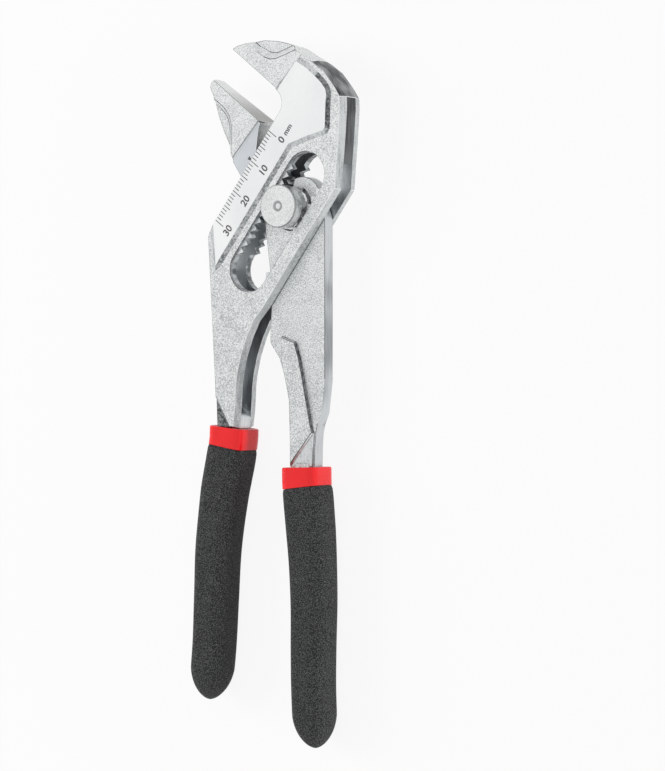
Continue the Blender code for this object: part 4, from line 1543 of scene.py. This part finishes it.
@dataclass
class HandleDress:
    """Red sleeve and black grip of one handle, drawn through the handle's middle line.

    Pairs of sizes are half widths and half thicknesses. Squareness is 2 for an ellipse and more
    for a squarer section.
    """

    side: str
    body: str
    shares: Tuple[Tuple[float, float], ...]
    reach: float
    length: float = 0.0765
    tang: Tuple[float, float] = (0.0029, 0.0030)
    gap: float = 0.0003
    sleeve_wall: float = 0.0010
    sleeve_square: float = 3.2
    sleeve_steps: int = 24
    rise: float = 0.0006
    seam: float = 0.00006
    collar: Tuple[float, float] = (0.0057, 0.0053)
    collar_length: float = 0.0046
    collar_square: float = 5.5
    grip: Tuple[float, float] = (0.0060, 0.0055)
    grip_square: float = 3.4
    grip_steps: int = 60
    nose: float = 0.0098
    nose_cover: float = 0.0020
    nose_power: float = 1.12
    nose_square: float = 2.2
    nose_least_share: float = 0.02
    width_shares: Tuple[float, ...] = (1.03, 1.07, 1.05, 1.00, 0.97, 0.94, 0.92, 0.90, 0.89, 0.88)
    collar_drops: Tuple[float, ...] = (0.0, 0.00006, 0.0002, 0.0005)
    collar_pulls: Tuple[float, ...] = (0.00030, 0.00014, 0.00005, 0.0)
    collar_full: float = 0.0011
    collar_hem: float = 0.0001
    hem_shares: Tuple[float, float] = (1.04, 1.01)
    lip_drops: Tuple[float, ...] = (0.0, 0.00003, 0.00022)
    lip_shares: Tuple[float, ...] = (0.88, 0.965, 0.99)
    look_ahead: float = 0.0004
    around: int = 64

    def line(self) -> Tuple[Points, Points]:
        """Middle line through the knots and its length measured from the neck's shoulder.

        Formula: a Catmull-Rom curve, a cubic through each pair of knots whose slopes are half
        the step between each knot's neighbours.

        Returns:
            Points in the plan and the distance of each below the shoulder.
        """
        knots = np.array(self.shares) * self.reach
        knots = np.vstack([knots, knots[-1] + 3 * (knots[-1] - knots[-2])])
        padded = np.vstack([knots[:1], knots, knots[-1:]])
        t = np.linspace(0, 1, 17)[:-1][None, :, None]
        a, b, c, d = (padded[k:len(knots) - 1 + k][:, None] for k in range(4))
        curve = 0.5 * (2 * b + (c - a) * t + (2 * a - 5 * b + 4 * c - d) * t ** 2
                       + (3 * b - a - 3 * c + d) * t ** 3)
        points = np.vstack([curve.reshape(-1, 2), knots[-1:]])
        run = np.concatenate([[0.0], np.cumsum(np.linalg.norm(np.diff(points, axis=0), axis=1))])
        return points, run - np.interp(self.reach, -points[:, 1], run)

    def rings(self, stations: Points, half_width: Points, half_thick: Points,
              square: Points) -> Points:
        """Sections across the handle.

        Formula: a superellipse, whose two coordinates are the cosine and sine of the turn,
        each to the power 2 over the squareness, times the half width and half thickness.

        Args:
            stations: Distances below the shoulder.
            half_width: Half width at each station.
            half_thick: Half thickness at each station.
            square: Squareness at each station.

        Returns:
            Array of stations by points by 3 coordinates.
        """
        points, run = self.line()
        centre, ahead, behind = (
            np.stack([np.interp(stations + shift, run, points[:, k]) for k in range(2)], axis=1)
            for shift in (0.0, self.look_ahead, -self.look_ahead))
        tangent = (ahead - behind) / np.linalg.norm(ahead - behind, axis=1)[:, None]
        turn, power = full_turn(self.around)[None, :], 2.0 / square[:, None]
        wide = half_width[:, None] * squared(np.cos(turn), power)
        tall = half_thick[:, None] * squared(np.sin(turn), power)
        x = centre[:, :1] - tangent[:, 1:] * wide
        y = centre[:, 1:] + tangent[:, :1] * wide
        return np.stack([x, y, tall], axis=-1) + PIN

    def tube(self, start: float, end: float, half: Tuple[float, float], square: float,
             count: int) -> Points:
        """Sections of a round-nosed tube that follows the handle's widths.

        Formula: the straight part swells with the widths, and over the nose both halves fall
        with a power of the cosine while the squareness goes down to the nose's own.

        Args:
            start: Distance of its first section below the shoulder.
            end: Distance of its tip.
            half: Half width and half thickness.
            square: Squareness of the straight part.
            count: Sections of the straight part.

        Returns:
            Array of sections by points by 3 coordinates.
        """
        nose = min(self.nose, (end - start) * 0.5)
        straight = np.linspace(start, end - nose, count)
        angle = np.linspace(0, math.pi / 2, 14)[1:]
        stations = np.concatenate([straight, end - nose + nose * np.sin(angle)])
        swell = np.interp(straight / self.length, np.linspace(0, 1, len(self.width_shares)),
                          self.width_shares)
        close = np.maximum(np.cos(angle) ** self.nose_power, self.nose_least_share)
        wide = np.concatenate([swell, swell[-1] * close]) * half[0]
        thick = np.concatenate([np.ones(count), close]) * half[1]
        squares = np.concatenate([np.full(count, square),
                                  np.linspace(square, self.nose_square, len(angle))])
        return self.rings(stations, wide, thick, squares)

    def sleeve(self, look: Look) -> Piece:
        """Red sleeve: full collar with a broken top edge, then a thin tube under the grip.

        Formula: the inner tube's sections from its tip up to the mouth, the collar's down to its
        hem and then the outer tube's down to the tip, as one surface.

        Args:
            look: Red finish.

        Returns:
            The sleeve.
        """
        inside = self.tang[0] + self.gap, self.tang[1] + self.gap
        outside = inside[0] + self.sleeve_wall, inside[1] + self.sleeve_wall
        inner_end = self.length - self.nose + self.nose_cover + self.gap
        inner = self.tube(self.gap, inner_end, inside, self.sleeve_square, self.sleeve_steps)
        outer = self.tube(self.gap + self.collar_length + 2 * self.gap,
                          inner_end + self.sleeve_wall, outside, self.sleeve_square,
                          self.sleeve_steps)
        top, pull = np.array(self.collar_drops) - self.rise, np.array(self.collar_pulls)
        body = np.linspace(self.collar_full, self.collar_length, 6) + self.gap
        stations = np.concatenate([top, body, [self.collar_length + self.collar_hem + self.gap]])
        wide, thick = (
            np.concatenate([full - pull, np.full(len(body), full), [thin * share]])
            for full, thin, share in zip(self.collar, outside, self.hem_shares))
        collar = self.rings(stations, wide, thick, np.full(len(stations), self.collar_square))
        rings = np.concatenate([inner[::-1], collar, outer])
        return finished(lofted(self.side + "_red_sleeve", rings), look, 40.0)

    def grip_piece(self, look: Look) -> Piece:
        """Black grip over the sleeve, with a rolled top edge and a blunt nose.

        Formula: the inner tube's sections from its tip up to the mouth, the rolled lip's and
        then the outer tube's down to the tip, as one surface.

        Args:
            look: Black finish.

        Returns:
            The grip.
        """
        across, through = (size + self.sleeve_wall + 2 * self.gap for size in self.tang)
        sleeve_end = self.length - self.nose + self.nose_cover + self.gap + self.sleeve_wall
        start = self.gap + self.collar_length + self.seam
        inner = self.tube(start, sleeve_end + self.gap, (across, through), self.sleeve_square,
                          self.sleeve_steps)
        outer = self.tube(start, self.length, self.grip, self.grip_square, self.grip_steps)
        swell, drop = np.array(self.lip_shares), np.array(self.lip_drops)
        lip = self.rings(start + drop, swell * self.grip[0] * self.width_shares[0],
                         swell * self.grip[1], np.full(len(drop), self.grip_square))
        rings = np.concatenate([inner[::-1], lip, outer[1:]])
        return finished(lofted(self.side + "_black_grip", rings), look, 50.0)

    def build(self, red: Look, black: Look) -> List[Piece]:
        """Make both layers and put them in their nodes' places."""
        return [settle(self.sleeve(red), self.body, self.side + "_sleeve"),
                settle(self.grip_piece(black), self.body, self.side + "_grip")]


# Scale


@dataclass
class RulerScale:
    """Millimetre ticks, numerals and the jaw's pointer, as thin dark inlays."""

    zero_along: float = 0.0137
    count: int = 31
    tick_width: float = 0.00022
    long_tick: float = 0.0032
    middle_tick: float = 0.0023
    short_tick: float = 0.0016
    foot_gap: float = 0.00012
    figure_height: float = 0.0023
    number_size: float = 1.30
    unit_size: float = 0.95
    figure_across: float = -0.0118
    figure_depth: float = 0.00004
    figure_weight: float = 0.00006
    proud: float = 0.00002
    sunk: float = 0.00005
    pointer_tip: Tuple[float, float] = (0.0033, -0.0177)
    pointer_half: float = 0.00055
    pointer_length: float = 0.0015
    labels: Tuple[Tuple[str, float], ...] = (
        ("0", 0.0141), ("mm", 0.0175), ("10", 0.0039), ("20", -0.0063), ("30", -0.0163))

    def plates(self, name: str, corners: Points, height: float) -> Piece:
        """Thin plates from their corners.

        Formula: each outline is repeated under and over the surface, and joined round its edge.

        Args:
            name: Name of the piece.
            corners: Array of plates by corners by 2, along and across.
            height: Height of the surface they lie on.

        Returns:
            The object.
        """
        count, sides = corners.shape[:2]
        points = np.stack([spot(corners[..., 0], corners[..., 1], height + lift)
                           for lift in (-self.sunk, self.proud)], axis=1)
        base = (np.arange(count) * 2 * sides)[:, None]
        ring = np.arange(sides)
        ahead = (ring + 1) % sides
        walls = np.stack([ring, ahead, ahead + sides, ring + sides], axis=1)
        faces = [list(row) for start in base for row in walls + start]
        faces += [list((start + ring)[::-1]) for start in base]
        faces += [list(start + sides + ring) for start in base]
        return new_piece(name, points.reshape(-1, 3), faces)

    def ticks(self) -> Piece:
        """Ticks from the ruler's edge inwards.

        Formula: tick k stands k millimetres below the zero, and each fifth and tenth is longer.

        Returns:
            The ticks, as one piece.
        """
        k = np.arange(self.count)
        length = np.where(k % 10 == 0, self.long_tick,
                          np.where(k % 5 == 0, self.middle_tick, self.short_tick))
        along = self.zero_along - k * MM
        low, high = along - self.tick_width / 2, along + self.tick_width / 2
        foot = np.full(self.count, RULER_EDGE + self.foot_gap)
        head = foot + length
        corners = [np.stack(pair, 1) for pair in
                   ((low, foot), (high, foot), (high, head), (low, head))]
        return self.plates("scale_ticks", np.stack(corners, axis=1), HALF_PAD)

    def figure(self, text: str, along: float) -> Piece:
        """Numeral of the scale, turned to read along the slot.

        Args:
            text: Number or unit.
            along: Place of its middle along the slot.

        Returns:
            The object, with its mesh already in place.
        """
        curve = bpy.data.curves.new("figure", "FONT")
        curve.body = text
        curve.align_x = curve.align_y = "CENTER"
        curve.size = self.figure_height * (
            self.number_size if text.isdigit() else self.unit_size)
        curve.extrude, curve.offset = self.figure_depth, self.figure_weight
        holder = placed("figure", curve)
        shown = holder.evaluated_get(bpy.context.evaluated_depsgraph_get())
        mesh = bpy.data.meshes.new_from_object(shown)
        bpy.data.objects.remove(holder, do_unlink=True)
        flat = np.zeros(len(mesh.vertices) * 3)
        mesh.vertices.foreach_get("co", flat)
        x, y, z = flat.reshape(-1, 3).T
        centre = spot(along, self.figure_across, HALF_PAD + self.proud - self.figure_depth)
        turned = np.stack([x * COS_SLOT - y * SIN_SLOT, x * SIN_SLOT + y * COS_SLOT, z],
                          axis=1) + centre
        mesh.vertices.foreach_set("co", turned.ravel())
        weld(mesh, 5 * WELD)
        return placed("scale_figure_" + text, mesh)

    def pointer(self) -> Piece:
        """Small triangle on the jaw's web that reads the scale.

        Formula: its tip, and two corners on either side of it further from the scale.

        Returns:
            The pointer.
        """
        tip, base = self.pointer_tip, self.pointer_tip[1] - self.pointer_length
        corners = np.array([[tip, (tip[0] + self.pointer_half, base),
                             (tip[0] - self.pointer_half, base)]])
        return self.plates("jaw_pointer", corners, HALF_WEB)

    def build(self) -> List[Piece]:
        """Make every mark and let it ride on its piece.

        Returns:
            All marks, the pointer last.
        """
        ink = Ink().make()
        marks = [self.ticks(), *(self.figure(text, along) for text, along in self.labels)]
        pointer = self.pointer()
        for mark in (*marks, pointer):
            mark.data.materials.clear()
            mark.data.materials.append(ink)
        return [*(settle(mark, "outer") for mark in marks),
                settle(pointer, "jaw")]


# Studio


@dataclass(frozen=True)
class SoftLamp:
    """Rectangular lamp that faces the middle of the tool and shows in no reflection."""

    name: str
    place: Tuple[float, float, float]
    size: Tuple[float, float]
    power: float

    def build(self) -> None:
        """Make the lamp and turn it."""
        data = bpy.data.lights.new(self.name, "AREA")
        data.shape = "RECTANGLE"
        data.size, data.size_y = self.size
        data.energy = self.power
        lamp = placed(self.name, data)
        lamp.location = self.place
        lamp.rotation_mode = "QUATERNION"
        lamp.rotation_quaternion = (-Vector(self.place)).to_track_quat("-Z", "Y")
        lamp.visible_glossy = False


@dataclass
class Studio:
    """White floor and background, soft lamps and the photograph's camera."""

    turn: float = math.radians(33.8)
    distance: float = 0.8
    pixels_per_metre: float = 3630.0
    frame_width: int = 665
    frame_height: int = 771
    pin_pixel: Tuple[float, float] = (296.05, 207.7)
    sensor: float = 36.0
    clips: Tuple[float, float] = (0.01, 20.0)
    floor_half: float = 3.0
    floor_height: float = -0.0001
    floor_grey: float = 0.86
    floor_white: float = 0.9
    sky_light: float = 0.48
    lamps: Tuple[SoftLamp, ...] = (
        SoftLamp("key_lamp", (-0.95, 0.15, 0.48), (0.6, 0.6), 9.0),
        SoftLamp("side_lamp", (1.05, -0.05, 0.10), (0.6, 0.14), 5.0))

    def camera(self) -> None:
        """Camera that looks across the tool from the spine's side.

        Formula: the view's height in metres over the distance sets the lens, and the pin's
        place in the picture sets the middle of the view.
        """
        back = np.array([math.sin(self.turn), 0.0, math.cos(self.turn)])
        right = np.array([math.cos(self.turn), 0.0, -math.sin(self.turn)])
        up = np.array([0.0, 1.0, 0.0])
        aside = (self.frame_width / 2 - self.pin_pixel[0]) / self.pixels_per_metre
        rise = (self.pin_pixel[1] - self.frame_height / 2) / self.pixels_per_metre
        centre = PIN + right * aside + up * rise
        data = bpy.data.cameras.new("camera")
        camera = placed("camera", data)
        camera.location = Vector(centre + back * self.distance)
        camera.rotation_mode = "QUATERNION"
        camera.rotation_quaternion = Matrix(
            np.stack([right, up, back], axis=1).tolist()).to_quaternion()
        data.sensor_width = self.sensor
        data.lens = self.sensor * self.distance / (self.frame_height / self.pixels_per_metre)
        data.clip_start, data.clip_end = self.clips
        bpy.context.scene.camera = camera

    def floor(self) -> None:
        """Pale floor that keeps a soft shadow and shows white round it."""
        half, low = self.floor_half, self.floor_height
        mesh = bpy.data.meshes.new("floor")
        mesh.from_pydata([(-half, -half, low), (half, -half, low), (half, half, low),
                          (-half, half, low)], [], [(0, 1, 2, 3)])
        bench = Bench("floor_white")
        plain = bench.node("ShaderNodeBsdfDiffuse", None, {"Color": (self.floor_grey,) * 3})
        white = bench.node("ShaderNodeEmission", None, {"Color": (1.0, 1.0, 1.0), "Strength": 1.0})
        look = bench.close_pale(plain, white, self.floor_white)
        look.cycles.emission_sampling = "NONE"
        mesh.materials.append(look)
        placed("floor", mesh)

    def world(self) -> None:
        """World that is white to the eye and in reflections, and dimmer as a light."""
        bench = Bench("world", world=True)
        dim, bright = (bench.node("ShaderNodeBackground", None,
                                  {"Color": (1.0, 1.0, 1.0), "Strength": strength})
                       for strength in (self.sky_light, 1.0))
        world = bench.close_pale(dim, bright, 1.0)
        world.cycles.sampling_method = "NONE"
        bpy.context.scene.world = world

    def build(self) -> None:
        """Set up the view transform, camera, floor, world and lamps."""
        bpy.context.scene.view_settings.view_transform = "Standard"
        self.camera()
        self.floor()
        self.world()
        for lamp in self.lamps:
            lamp.build()


def report(pieces: Sequence[Piece]) -> None:
    """Log the name and the number of faces of each piece."""
    for piece in pieces:
        log.info("%s: %d faces", piece.name, len(piece.data.polygons))


def main() -> None:
    """Build every sub-assembly in order and report it."""
    looks = ForgedLooks().make()
    report([forged.build(looks) for forged in (OuterArm(), InnerArm(), SlidingJaw())])
    report([ForgingMark().build(looks[Surface.PLATED.value])])
    report(PinSet().build())
    red, black = RedPlastic().make(), BlackFoam().make()
    for handle in (HandleDress("left", "outer", LEFT_SHARES, 0.0612),
                   HandleDress("right", "inner", RIGHT_SHARES, 0.0720)):
        report(handle.build(red, black))
    report(RulerScale().build())
    Studio().build()


if __name__ == "__main__":
    logging.basicConfig(level=logging.INFO)
    main()
